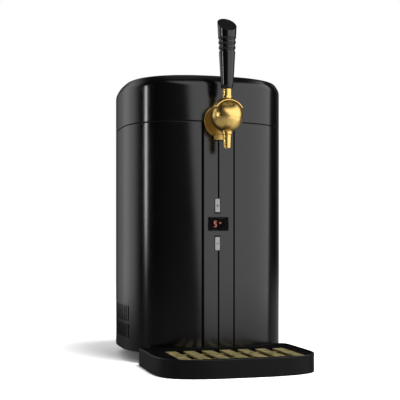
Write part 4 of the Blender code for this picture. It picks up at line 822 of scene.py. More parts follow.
@dataclass(frozen=True)
class Finish:
    """An opaque finish: two tones in a slow cloud, fine grain, worn edges and dust."""

    name: str
    slot: str
    tone: Colour
    shade: Colour
    roughness: float
    spread: float
    cloud: float
    grain: float
    relief: float
    worn: Colour
    wear: float
    dust: float
    metallic: float = 0.0
    specular: float = 0.5
    stretch: Grain = Grain.EVEN
    dust_tone: Colour = (0.42, 0.40, 0.37)

    def build(self, effects: Effects) -> bpy.types.Material:
        """Makes the material.

        Args:
            effects: The shared groups.

        Returns:
            The material.
        """
        material, bench, spot = fresh_material(self.name)
        cloud = bench.group(effects.cloud, spot, Scale=self.cloud)["Value"]
        grain = bench.group(effects.grain, spot, Scale=self.grain, Relief=self.relief,
                            Stretch=self.stretch.value)
        wear = bench.group(effects.wear, spot, Scale=self.cloud * 9, Amount=self.wear)["Mask"]
        dust = bench.group(effects.dust, spot, Scale=self.cloud * 5, Amount=self.dust)["Mask"]
        mixed = bench.plus(bench.times(cloud, 0.65), bench.times(grain["Value"], 0.35))
        colour = bench.blend(mixed, self.tone, self.shade)
        colour = bench.blend(wear, colour, self.worn)
        colour = bench.blend(dust, colour, self.dust_tone)
        rough = bench.span(mixed, 0.0, 1.0, self.roughness - self.spread, self.roughness + self.spread)
        rough = bench.plus(rough, bench.times(bench.plus(wear, dust), 0.35))
        bump = bench.node("ShaderNodeBump", Strength=1.0, Distance=1.0, Height=grain["Height"])
        shader = bench.node("ShaderNodeBsdfPrincipled", Base_Color=colour, Roughness=rough,
                            Metallic=self.metallic, Specular_IOR_Level=self.specular,
                            Normal=bump.outputs[0])
        bench.node("ShaderNodeOutputMaterial", Surface=shader.outputs[0])
        return material


@dataclass(frozen=True)
class GlassFinish:
    """Tinted clear plastic with a coating that keeps its gloss low."""

    name: str
    slot: str
    tone: Colour
    roughness: float = 0.04
    density: float = 1.12
    cloud: float = 160.0

    def build(self, effects: Effects) -> bpy.types.Material:
        """Makes the material, with faint smears in its gloss.

        Args:
            effects: The shared groups.

        Returns:
            The material.
        """
        material, bench, spot = fresh_material(self.name)
        cloud = bench.group(effects.cloud, spot, Scale=self.cloud)["Value"]
        shader = bench.node("ShaderNodeBsdfPrincipled", Transmission_Weight=1.0, IOR=self.density,
                            Base_Color=bench.blend(cloud, self.tone, scaled(self.tone, 0.8)),
                            Roughness=bench.span(cloud, 0, 1, self.roughness, self.roughness * 2.5))
        bench.node("ShaderNodeOutputMaterial", Surface=shader.outputs[0])
        return material


@dataclass(frozen=True)
class GlowFinish:
    """A lit segment: its glow varies in a slow cloud, down to about 0.72 of full."""

    name: str
    slot: str
    tone: Colour
    glow: Colour
    strength: float
    cloud: float = 500.0

    def build(self, effects: Effects) -> bpy.types.Material:
        """Makes the material.

        Args:
            effects: The shared groups.

        Returns:
            The material.
        """
        material, bench, spot = fresh_material(self.name)
        cloud = bench.group(effects.cloud, spot, Scale=self.cloud)["Value"]
        shader = bench.node("ShaderNodeBsdfPrincipled", Roughness=0.4, Emission_Strength=self.strength,
                            Base_Color=bench.blend(cloud, self.tone, self.glow),
                            Emission_Color=bench.blend(cloud, self.glow, scaled(self.glow, 0.72)))
        bench.node("ShaderNodeOutputMaterial", Surface=shader.outputs[0])
        return material


class Finishes(Enum):
    """Every finish of the machine."""

    GLOSS_BLACK = Finish(
        "piano_black", "gloss_black", (0.0014, 0.0014, 0.0015), grey(0.0021), 0.150, 0.012,
        cloud=14.0, grain=260.0, relief=0.0000025, worn=grey(0.02), wear=0.12, dust=0.003)
    HANDLE_BLACK = Finish(
        "lacquered_black", "gloss_black", (0.0018, 0.0018, 0.0019), grey(0.0026), 0.10, 0.02,
        cloud=40.0, grain=500.0, relief=0.000003, worn=grey(0.02), wear=0.10, dust=0.003)
    SATIN_BLACK = Finish(
        "satin_black_plastic", "satin_black", (0.0052, 0.0052, 0.0055), grey(0.0072), 0.40, 0.05,
        cloud=22.0, grain=1500.0, relief=0.000015, worn=grey(0.03), wear=0.18, dust=0.006, specular=0.07)
    FRAME_BLACK = Finish(
        "dull_black_plastic", "satin_black", (0.0016, 0.0016, 0.0017), grey(0.0028), 0.62, 0.06,
        cloud=26.0, grain=1500.0, relief=0.00002, worn=grey(0.02), wear=0.25, dust=0.004, specular=0.012)
    # Matt near-black without reflection: painted shade on the groove floors and on the button lips
    PAINTED_SHADE_BLACK = Finish(
        "painted_shade_black", "rubber", grey(0.0025), grey(0.004), 0.90, 0.05,
        cloud=120.0, grain=1500.0, relief=0.00003, worn=grey(0.01), wear=0.1, dust=0.004, specular=0.06)
    MATT_BLACK = Finish(
        "matt_black_plastic", "matt_black", (0.014, 0.014, 0.0145), grey(0.020), 0.58, 0.06,
        cloud=30.0, grain=1300.0, relief=0.00004, worn=grey(0.08), wear=0.2, dust=0.06)
    TAP_GOLD = Finish(
        "satin_gold", "gold", (0.79, 0.55, 0.18), (0.73, 0.49, 0.155), 0.27, 0.02, metallic=1.0,
        cloud=36.0, grain=1100.0, relief=0.0000006, worn=(0.76, 0.56, 0.24), wear=0.2, dust=0.01)
    # Gold darkened to about 0.7 of the tap's gold: painted shade for the dimmer gold-on-gold light on the
    # escutcheon
    SHADED_PLATE_GOLD = Finish(
        "gold_darkened_as_shade", "gold", (0.54, 0.37, 0.13), (0.46, 0.31, 0.10), 0.30, 0.03, metallic=1.0,
        cloud=50.0, grain=1100.0, relief=0.0000015, worn=(0.6, 0.44, 0.18), wear=0.2, dust=0.01)
    GRILLE_GOLD = Finish(
        "brushed_gold", "gold", (0.60, 0.50, 0.21), (0.06, 0.048, 0.02), 0.42, 0.08, metallic=0.5,
        cloud=110.0, grain=1400.0, relief=0.00001, worn=(0.7, 0.58, 0.3), wear=0.3, dust=0.03,
        stretch=Grain.BRUSHED_ALONG)
    STEEL = Finish(
        "stainless_steel", "steel", (0.58, 0.58, 0.57), (0.48, 0.48, 0.47), 0.28, 0.07, metallic=1.0,
        cloud=60.0, grain=1600.0, relief=0.00001, worn=grey(0.7), wear=0.3, dust=0.04)
    ALUMINIUM = Finish(
        "drawn_aluminium", "aluminium", (0.72, 0.73, 0.74), (0.62, 0.63, 0.64), 0.36, 0.07, metallic=1.0,
        cloud=40.0, grain=1500.0, relief=0.000015, worn=grey(0.8), wear=0.3, dust=0.05,
        stretch=Grain.BRUSHED_UP)
    LINER_GREY = Finish(
        "moulded_grey", "liner_grey", (0.42, 0.43, 0.44), (0.37, 0.38, 0.39), 0.42, 0.06,
        cloud=25.0, grain=1200.0, relief=0.00003, worn=grey(0.5), wear=0.2, dust=0.06)
    BUTTON_GREY = Finish(
        "button_grey_plastic", "button_grey", grey(0.44), grey(0.38), 0.40, 0.05,
        cloud=180.0, grain=2400.0, relief=0.00001, worn=grey(0.55), wear=0.3, dust=0.05)
    SIGN_GREY = Finish(
        "sign_grey_ink", "button_grey", grey(0.035), grey(0.06), 0.5, 0.05,
        cloud=300.0, grain=2600.0, relief=0.00001, worn=grey(0.3), wear=0.3, dust=0.05)
    RUBBER = Finish(
        "black_rubber", "rubber", grey(0.020), (0.030, 0.030, 0.029), 0.80, 0.07,
        cloud=70.0, grain=1500.0, relief=0.00006, worn=grey(0.07), wear=0.35, dust=0.14)
    FOAM = Finish(
        "insulating_foam", "foam", (0.74, 0.72, 0.64), (0.64, 0.60, 0.50), 0.90, 0.05,
        cloud=45.0, grain=700.0, relief=0.0003, worn=(0.8, 0.78, 0.7), wear=0.2, dust=0.05)
    CERAMIC = Finish(
        "white_ceramic", "ceramic", (0.80, 0.79, 0.75), (0.72, 0.71, 0.67), 0.55, 0.05,
        cloud=80.0, grain=1700.0, relief=0.00002, worn=(0.85, 0.85, 0.8), wear=0.1, dust=0.05)
    BOARD_GREEN = Finish(
        "circuit_board", "board_green", (0.02, 0.13, 0.05), (0.015, 0.09, 0.035), 0.45, 0.07,
        cloud=220.0, grain=1200.0, relief=0.00003, worn=(0.3, 0.3, 0.1), wear=0.2, dust=0.05)
    LED_FACE = Finish(
        "display_mask", "led_red", (0.003, 0.0025, 0.0025), (0.005, 0.004, 0.004), 0.6, 0.05,
        cloud=200.0, grain=1800.0, relief=0.00001, worn=grey(0.01), wear=0.1, dust=0.0, specular=0.03)
    HOSE = Finish(
        "milky_hose", "hose", (0.70, 0.71, 0.69), (0.62, 0.62, 0.58), 0.30, 0.06,
        cloud=60.0, grain=900.0, relief=0.00002, worn=(0.75, 0.75, 0.72), wear=0.1, dust=0.05)
    BRASS = Finish(
        "plain_brass", "brass", (0.66, 0.50, 0.24), (0.54, 0.38, 0.17), 0.30, 0.07, metallic=1.0,
        cloud=90.0, grain=1500.0, relief=0.00001, worn=(0.75, 0.62, 0.35), wear=0.3, dust=0.04)
    SMOKED_GLASS = GlassFinish("smoked_window", "smoked_glass", (0.55, 0.50, 0.50))
    LED_SEGMENT = GlowFinish("lit_segment", "led_red", (0.60, 0.10, 0.08), (1.0, 0.34, 0.26), 2.6)


class Wardrobe:
    """Keeps one material for each finish and puts it on pieces and nodes."""

    def __init__(self, nodes: dict[str, bpy.types.Object]) -> None:
        """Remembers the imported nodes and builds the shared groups.

        Args:
            nodes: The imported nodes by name.
        """
        self.nodes = nodes
        self.effects = Effects()
        self.made: dict[Finishes, bpy.types.Material] = {}

    def material(self, finish: Finishes) -> bpy.types.Material:
        """Gives the material of a finish, built at its first use.

        Args:
            finish: The finish.

        Returns:
            Its material.
        """
        if finish not in self.made:
            self.made[finish] = finish.value.build(self.effects)
        return self.made[finish]

    def dress(self, item: bpy.types.Object, finish: Finishes, body: Body, *stands_for: str,
              smooth: float = 35.0) -> None:
        """Shades a new piece, gives it its finish and hangs it on its body.

        Args:
            item: The piece.
            finish: Its finish.
            body: The body that it rides on.
            *stands_for: The nodes that it replaces.
            smooth: Largest angle that is shaded smooth, in degrees.
        """
        item.data.shade_smooth()
        item.data.set_sharp_from_angle(angle=math.radians(smooth))
        item.data.materials.clear()
        item.data.materials.append(self.material(finish))
        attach(item, body.value)
        if stands_for:
            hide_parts(*stands_for)
        LOG.info("%s: %d faces on %s, %s", item.name, len(item.data.polygons), body.value, finish.value.name)

    def paint(self, name: str, finish: Finishes) -> None:
        """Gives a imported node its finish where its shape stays.

        Args:
            name: The node.
            finish: Its finish.
        """
        for slot in self.nodes[name].material_slots:
            slot.material = self.material(finish)
        LOG.info("%s: kept, %s", name, finish.value.name)

    def refine(self, name: str, finish: Finishes, body: Body, edge: float) -> None:
        """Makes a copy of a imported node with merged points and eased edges, and lets it stand for the node.

        Args:
            name: The node.
            finish: Its finish.
            body: The body that it rides on.
            edge: Width of the rounding on its sharp edges.
        """
        mesh = self.nodes[name].data.copy()
        item = bpy.data.objects.new("fine_" + name, mesh)
        bpy.context.scene.collection.objects.link(item)
        shape = bmesh.new()
        shape.from_mesh(mesh)
        bmesh.ops.remove_doubles(shape, verts=shape.verts, dist=MERGE_PACKED)
        bmesh.ops.dissolve_limit(shape, angle_limit=math.radians(0.5), verts=shape.verts, edges=shape.edges)
        shape.to_mesh(mesh)
        shape.free()
        ease_edges(item, edge)
        self.dress(item, finish, body, name)


@dataclass(frozen=True)
class SubAssembly:
    """A part of the machine, which takes its finishes from one wardrobe."""

    wardrobe: Wardrobe


# Housing


@dataclass(frozen=True)
class HousingShell(SubAssembly):
    """The glossy body wall with its grooves, vents and openings."""

    base_z: float = 0.0153
    top_z: float = SEAM_Z - SEAM_HALF
    edge: float = 0.0005
    vent_width: float = 0.0042
    vent_corner: float = 0.0008
    vent_pitch: float = 0.0080
    vent_first: float = -0.0330
    vent_count: int = 11
    # Foot and height of each row of vents
    vent_rows: tuple[tuple[float, float], ...] = ((0.0334, 0.0198), (0.0566, 0.0225))
    # The middle groove stops between these heights, where the buttons and the display are
    plus_top: float = 0.2287
    minus_low: float = 0.1580
    # Half width, half height, corner, half depth and middle: display, plus, minus, mains inlet, rear panel
    openings: tuple[tuple[float, float, float, float, Place], ...] = (
        (0.0149, 0.0096, 0.0022, 0.012, (-0.0009, FRONT_Y + 0.001, 0.1942)),
        (0.0043, 0.0103, 0.0012, 0.012, (-0.0022, FRONT_Y + 0.001, 0.2188)),
        (0.0043, 0.0103, 0.0012, 0.012, (-0.0022, FRONT_Y + 0.001, 0.1679)),
        (0.0139, 0.0259, 0.0029, 0.012, (0, REAR_Y, 0.0695)),
        (0.0584, 0.0744, 0.0054, 0.024, (0, REAR_Y - 0.006, 0.1860)),
    )
    # Dark strips on the groove floors, painted shade in the grooves: half width in groove widths, front and
    # rear from the floor, room at the buttons
    shade_strip_half: float = 0.44
    shade_strip_front: float = 0.0004
    shade_strip_rear: float = 0.0001
    shade_strip_room: float = 0.0006

    def wall(self) -> Skin:
        """Builds the wall: outer rings follow the plan with its grooves, inner rings lie a wall further in.

        Returns:
            The closed wall.
        """
        half = (self.top_z - self.base_z) / 2
        rim = soften(((WALL / 2, -half), (0, -half), (0, half), (WALL / 2, half)), self.edge)
        rim[:, 1] += (self.top_z + self.base_z) / 2
        half_row = len(rim) // 2
        # The middle groove runs out over a fifth of a millimetre at each of its stops
        stops = [stop + step for stop in (self.minus_low, self.plus_top) for step in (-0.0001, 0.0001)]
        outer = np.vstack((rim[:half_row], np.column_stack((np.zeros(4), stops)), rim[half_row:]))
        inner = ((WALL, self.top_z), (WALL, self.base_z))
        rings = stacked(OUTLINE, INWARD, np.vstack((held(outer, 0.0006), inner)))
        level = rings[:, 0, 2]
        runs = np.ones_like(level)
        middle_runs = ((level > self.plus_top) | (level < self.minus_low)).astype(float)
        share = np.stack((runs, middle_runs, runs), axis=-1)
        share[-2:] = 0
        sunk = share @ (PLAN.groove(OUTLINE) * PLAN.groove_depth).T
        rings[:, :, :2] += INWARD[None] * sunk[:, :, None]
        return loft(rings, looped=True)

    def vents(self) -> list[Skin]:
        """Gives the cutters of the vent slots: two rows on each side, at equal steps along it.

        Returns:
            One surface for each slot.
        """
        slots = []
        through = ((0, -0.009), (0, 0.009))
        for x in (0.005 - PLAN.half_width, PLAN.half_width - 0.005):
            for index in range(self.vent_count):
                y = self.vent_first + index * self.vent_pitch
                for low, height in self.vent_rows:
                    slots.append(slab(self.vent_width / 2, height / 2, self.vent_corner, through,
                                      (x, y, low + height / 2), Axis.ACROSS))
        return slots

    def groove_shade_strips(self) -> list[Skin]:
        """Gives the dark strips on the groove floors, painted shade in the grooves: a strip that follows the
        front, carried straight up.

        Returns:
            One surface for each run of a groove.
        """
        runs = ((0, self.base_z, self.top_z), (2, self.base_z, self.top_z),
                (1, self.base_z, self.minus_low - self.shade_strip_room),
                (1, self.plus_top + self.shade_strip_room, self.top_z))
        skins = []
        for index, low, high in runs:
            centre, width = PLAN.grooves[index]
            x = centre + np.linspace(-self.shade_strip_half, self.shade_strip_half, 9) * width
            y = PLAN.front_y(x) + PLAN.groove_depth
            front, rear = [np.column_stack((x, depth)) for depth in (y - self.shade_strip_front, y + self.shade_strip_rear)]
            flat = np.vstack((front, rear[::-1]))
            rings = [np.insert(flat, 2, level, axis=1) for level in (low + GAP, high - GAP)]
            skins.append(loft(np.array(rings)))
        return skins

    def build(self) -> None:
        """Makes and dresses the wall and the painted shade strips in its grooves."""
        item = mesh_piece("body_shell", self.wall())
        carve(item, *self.vents())
        cuts = [slab(half_a, half_b, corner, ((0, -depth), (0, depth)), middle, Axis.ALONG)
                for half_a, half_b, corner, depth, middle in self.openings]
        cuts.append(rod(SHANK_HOLE, -0.012, 0.012, (0, FRONT_Y + 0.001, SEAM_Z), Axis.ALONG))
        carve(item, *cuts)
        self.wardrobe.dress(item, Finishes.GLOSS_BLACK, Body.HOUSING, "outer_shell", smooth=30.0)
        # Matt black strips on the groove floors paint the grooves' shade
        groove_shade_strips = mesh_piece("groove_painted_shade", *self.groove_shade_strips())
        self.wardrobe.dress(groove_shade_strips, Finishes.PAINTED_SHADE_BLACK, Body.HOUSING, "outer_shell")


@dataclass(frozen=True)
class RearPanel(SubAssembly):
    """The slotted panel behind the fan, let into the body wall."""

    half_width: float = 0.0580
    low_z: float = 0.1120
    high_z: float = 0.2600
    corner: float = 0.0050
    slot_width: float = 0.0038
    slot_corner: float = 0.0016
    slot_pitch: float = 0.0090
    slot_count: int = 11
    slot_margin: float = 0.0200
    screw_x: float = 0.0460
    screw_margin: float = 0.0090
    head_radius: float = 0.0031
    head_height: float = 0.0020
    screw_hole: float = 0.0018
    thread_radius: float = 0.0014
    thread_length: float = 0.0095
    # Cross slot: reach in head radii, half width, depth
    cross_reach: float = 0.56
    cross_half: float = 0.0004
    cross_depth: float = 0.0009

    def slots(self) -> list[Skin]:
        """Gives the cutters of the slots, side by side at equal steps.

        Returns:
            One surface for each slot.
        """
        middle = (self.low_z + self.high_z) / 2
        tall = (self.high_z - self.low_z) / 2 - self.slot_margin
        across = (np.arange(self.slot_count) - (self.slot_count - 1) / 2) * self.slot_pitch
        through = ((0, -0.05), (0, 0.02))
        return [slab(self.slot_width / 2, tall, self.slot_corner, through, (x, REAR_Y, middle), Axis.ALONG)
                for x in across]

    def build(self) -> None:
        """Makes the panel from a strip of the body wall, cuts its slots and seats its screws."""
        low, high = self.low_z - 0.005, self.high_z + 0.005
        rings = stacked(FINE_OUTLINE, FINE_INWARD, ((0, low), (0, high), (WALL, high), (WALL, low)))
        panel = mesh_piece("vent_panel", loft(rings, looped=True))
        middle = (0, REAR_Y, (self.low_z + self.high_z) / 2)
        half = (self.high_z - self.low_z) / 2
        keep = slab(self.half_width, half, self.corner, ((0, -0.06), (0, 0.02)), middle, Axis.ALONG)
        carve(panel, keep, how=Carve.KEEP)
        carve(panel, *self.slots())
        seat_y = float(PLAN.rear_y(np.array(self.screw_x))) - WALL / 2
        hole, wide = self.screw_hole, self.head_radius + GAP
        seat = ((0, -0.02), (hole, -0.02), (hole, 0), (wide, 0), (wide, 0.02), (0, 0.02))
        spots = [(x, seat_y, z) for z in (self.low_z + self.screw_margin, self.high_z - self.screw_margin)
                 for x in (-self.screw_x, self.screw_x)]
        carve(panel, *[turned(seat, spot, Axis.ALONG, 48) for spot in spots])
        self.wardrobe.dress(panel, Finishes.GLOSS_BLACK, Body.HOUSING, "rear_panel", smooth=30.0)
        for number, (x, y, z) in enumerate(spots, start=1):
            self.screw(number, (x, y + GAP, z))

    def screw(self, number: int, spot: Place) -> None:
        """Makes a domed cross-head screw.

        Args:
            number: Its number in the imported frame.
            spot: Middle of the underside of its head.
        """
        radius, top = self.head_radius, self.head_height
        thread, tip = self.thread_radius, -self.thread_length
        corners = ((0, tip), (thread, tip), (thread, 0), (radius, 0), (radius, top * 0.6),
                   (radius * 0.6, top), (0, top))
        item = mesh_piece("cross_screw_%d" % number, turned(soften(corners, 0.0004), spot, Axis.ALONG, 40))
        x, y, z = spot
        long, narrow = radius * self.cross_reach, self.cross_half
        for wide, tall in ((long, narrow), (narrow, long)):
            carve(item, box((x - wide, y + top - self.cross_depth, z - tall),
                            (x + wide, y + top + 0.002, z + tall)))
        self.wardrobe.dress(item, Finishes.STEEL, Body.HOUSING, "panel_screw_%d" % number)


@dataclass(frozen=True)
class Feet(SubAssembly):
    """Four rubber feet under the base plate."""

    x: float = 0.0720
    front_y: float = -0.0480
    rear_y: float = 0.0960
    radius: float = 0.0110
    neck: float = 0.0037
    snap: float = 0.0055
    snap_height: float = 0.002
    hollow: float = 0.0006
    hollow_radius: float = 0.0065
    hollow_rim: float = 0.0070
    softness: float = 0.0009
    top_z: float = 0.0169
    plate_top: float = 0.0207

    def build(self) -> None:
        """Makes each foot as one turned piece with its neck and snap head."""
        snap_top = self.plate_top + self.snap_height
        corners = (
            (0, self.hollow), (self.hollow_radius, self.hollow), (self.hollow_rim, 0), (self.radius, 0),
            (self.radius, self.top_z), (self.neck, self.top_z), (self.neck, self.plate_top),
            (self.snap, self.plate_top), (self.neck, snap_top), (0, snap_top),
        )
        profile = soften(corners, self.softness)
        for end, y in (("front", self.front_y), ("rear", self.rear_y)):
            for side, x in (("left", -self.x), ("right", self.x)):
                name = "foot_%s_%s" % (end, side)
                item = mesh_piece("rubber_" + name, turned(profile, (x, y, 0), Axis.UP, 56))
                self.wardrobe.dress(item, Finishes.RUBBER, Body.HOUSING, name)


# Lid


@dataclass(frozen=True)
class Lid(SubAssembly):
    """The hinged lid shell with its bevelled top edge."""

    low_z: float = SEAM_Z + SEAM_HALF
    top_z: float = 0.4000
    chamfer_depth: float = 0.0064
    chamfer_height: float = 0.0106
    softness: float = 0.0042
    flat_inset: float = 0.030

    def build(self) -> None:
        """Makes the shell: rings run down inside, round the lower rim, up the side and over the bevel."""
        side_top = self.top_z - self.chamfer_height
        ceiling = self.top_z - WALL
        inside = ((self.flat_inset, ceiling), (WALL + self.chamfer_depth, ceiling),
                  (WALL, side_top - WALL / 2), (WALL, self.low_z))
        rim = soften(((WALL * 0.6, self.low_z), (0, self.low_z), (0, self.low_z + 0.004)), 0.0005)
        outside = soften(((0, self.low_z + 0.006), (0, side_top), (self.chamfer_depth, self.top_z),
                          (self.flat_inset, self.top_z)), self.softness, 6)
        profile = np.vstack((held(inside), held(np.vstack((rim, outside)), 0.0006)))
        item = mesh_piece("lid_cover", loft(stacked(FINE_OUTLINE, FINE_INWARD, profile)))
        carve(item, rod(SHANK_HOLE, -0.012, 0.012, (0, FRONT_Y + 0.001, SEAM_Z), Axis.ALONG))
        self.wardrobe.dress(item, Finishes.GLOSS_BLACK, Body.LID, "lid_shell", smooth=30.0)


# Tap


@dataclass(frozen=True)
class Tap(SubAssembly):
    """The ball tap: escutcheon with its lug, ball with neck and collar, and the tapered spout."""

    neck: float = 0.0105
    flange: float = 0.0222
    flange_thickness: float = 0.0036
    standoff: float = 0.0004
    lug_half: float = 0.0094
    lug_depth: float = 0.0080
    lug_drop: float = 0.0040
    collar: float = 0.0071
    collar_height: float = 0.0030
    # Cuts in the ball: room, start and end of the bore, drain, floor and head room of the slot, pin way
    room: float = 0.0125
    bore: tuple[float, float] = (0.0106, 0.05)
    drain: float = 0.0046
    drain_top: float = -0.008
    slot_floor: float = 0.00625
    crown_room: float = 0.0014
    pin_half: float = 0.0154
    spout_top: float = 0.0061
    spout_tip: float = 0.0050
    spout_bore: float = 0.0030
    plug: float = 0.0042
    plug_height: float = 0.006
    tip_z: float = 0.2948
    slot_half: float = 0.0034

    def ball(self) -> None:
        """Makes the ball, adds neck and collar, and cuts room, bore, drain, slot and pin way."""
        centre = (0, BALL_Y, BALL_Z)
        axle = (0, BALL_Y, SEAM_Z)
        item = mesh_piece("ball_body", sphere(BALL_RADIUS, centre, 64, 128))
        reach = FRONT_Y - self.standoff - self.flange_thickness - GAP - BALL_Y
        neck = ((0, 0), (self.neck, 0), (self.neck, reach - 0.0004), (self.neck - 0.0004, reach), (0, reach))
        carve(item, turned(neck, axle, Axis.ALONG, 96), how=Carve.ADD)
        low = -BALL_RADIUS - self.collar_height
        high = -BALL_RADIUS * 0.93
        collar = ((0, low), (self.collar, low), (self.collar, -BALL_RADIUS * 0.98),
                  (self.collar + 0.001, high), (0, high))
        carve(item, turned(soften(collar, 0.0005), centre, Axis.UP, 96), how=Carve.ADD)
        crown = BALL_RADIUS + self.crown_room
        swing = crown * math.sin(SWING) + self.slot_half
        cuts = (
            sphere(self.room, centre, 24, 48),
            rod(SHANK_BORE, *self.bore, axle, Axis.ALONG, 64),
            rod(self.drain, low - 0.003, self.drain_top, centre, Axis.UP, 48),
            box((-self.slot_half, BALL_Y - swing, BALL_Z + self.slot_floor),
                (self.slot_half, BALL_Y + self.slot_half, BALL_Z + crown)),
            rod(PIN_BORE, -self.pin_half, self.pin_half, centre, Axis.ACROSS, 40),
        )
        for cut in cuts:
            carve(item, cut)
        self.wardrobe.dress(item, Finishes.TAP_GOLD, Body.HOUSING, "tap_ball", smooth=32.0)

    def escutcheon(self) -> None:
        """Makes the dished ring behind the ball and the rounded lug under it, in the darker gold that paints
        shade.
        """
        thick = self.standoff + self.flange_thickness
        corners = (
            (SHANK_BORE, self.standoff), (self.flange, self.standoff), (self.flange, thick),
            (self.flange - 0.0018, thick), (self.flange - 0.0026, thick - 0.0009),
            (SHANK_BORE, thick - 0.0007),
        )
        profile = soften(corners, 0.0007, 5, closed=True) * (1, -1)
        item = mesh_piece("escutcheon", turned(profile, (0, FRONT_Y, SEAM_Z), Axis.ALONG, 128, looped=True))
        low = SEAM_Z - self.flange - self.lug_drop
        high = SEAM_Z - self.flange * 0.8
        edge = ((0.0012, -self.lug_depth), (0, -self.lug_depth), (0, -0.0001), (0.0003, -0.0001))
        back = (0, FRONT_Y - self.standoff, (low + high) / 2)
        lug = slab(self.lug_half, (high - low) / 2, 0.0018, soften(edge, 0.0012, 5), back, Axis.ALONG)
        carve(item, lug, how=Carve.ADD)
        # The darker gold paints the shade on the escutcheon
        self.wardrobe.dress(item, Finishes.SHADED_PLATE_GOLD, Body.HOUSING, "tap_flange", smooth=38.0)

    def spout(self) -> None:
        """Makes the tapered spout with its rolled tip and its plug."""
        shoulder = BALL_Z - BALL_RADIUS - self.collar_height - GAP
        plug_top = shoulder + self.plug_height
        corners = (
            (self.spout_bore, self.tip_z), (self.spout_tip, self.tip_z), (self.spout_top, shoulder),
            (self.plug, shoulder), (self.plug, plug_top), (self.spout_bore, plug_top),
        )
        profile = soften(corners, 0.0005, 4, closed=True)
        item = mesh_piece("tapered_spout", turned(profile, (0, BALL_Y, 0), Axis.UP, 96, looped=True))
        self.wardrobe.dress(item, Finishes.TAP_GOLD, Body.HOUSING, "tap_spout")

    def build(self) -> None:
        """Makes the three fixed gold pieces."""
        self.ball()
        self.escutcheon()
        self.spout()


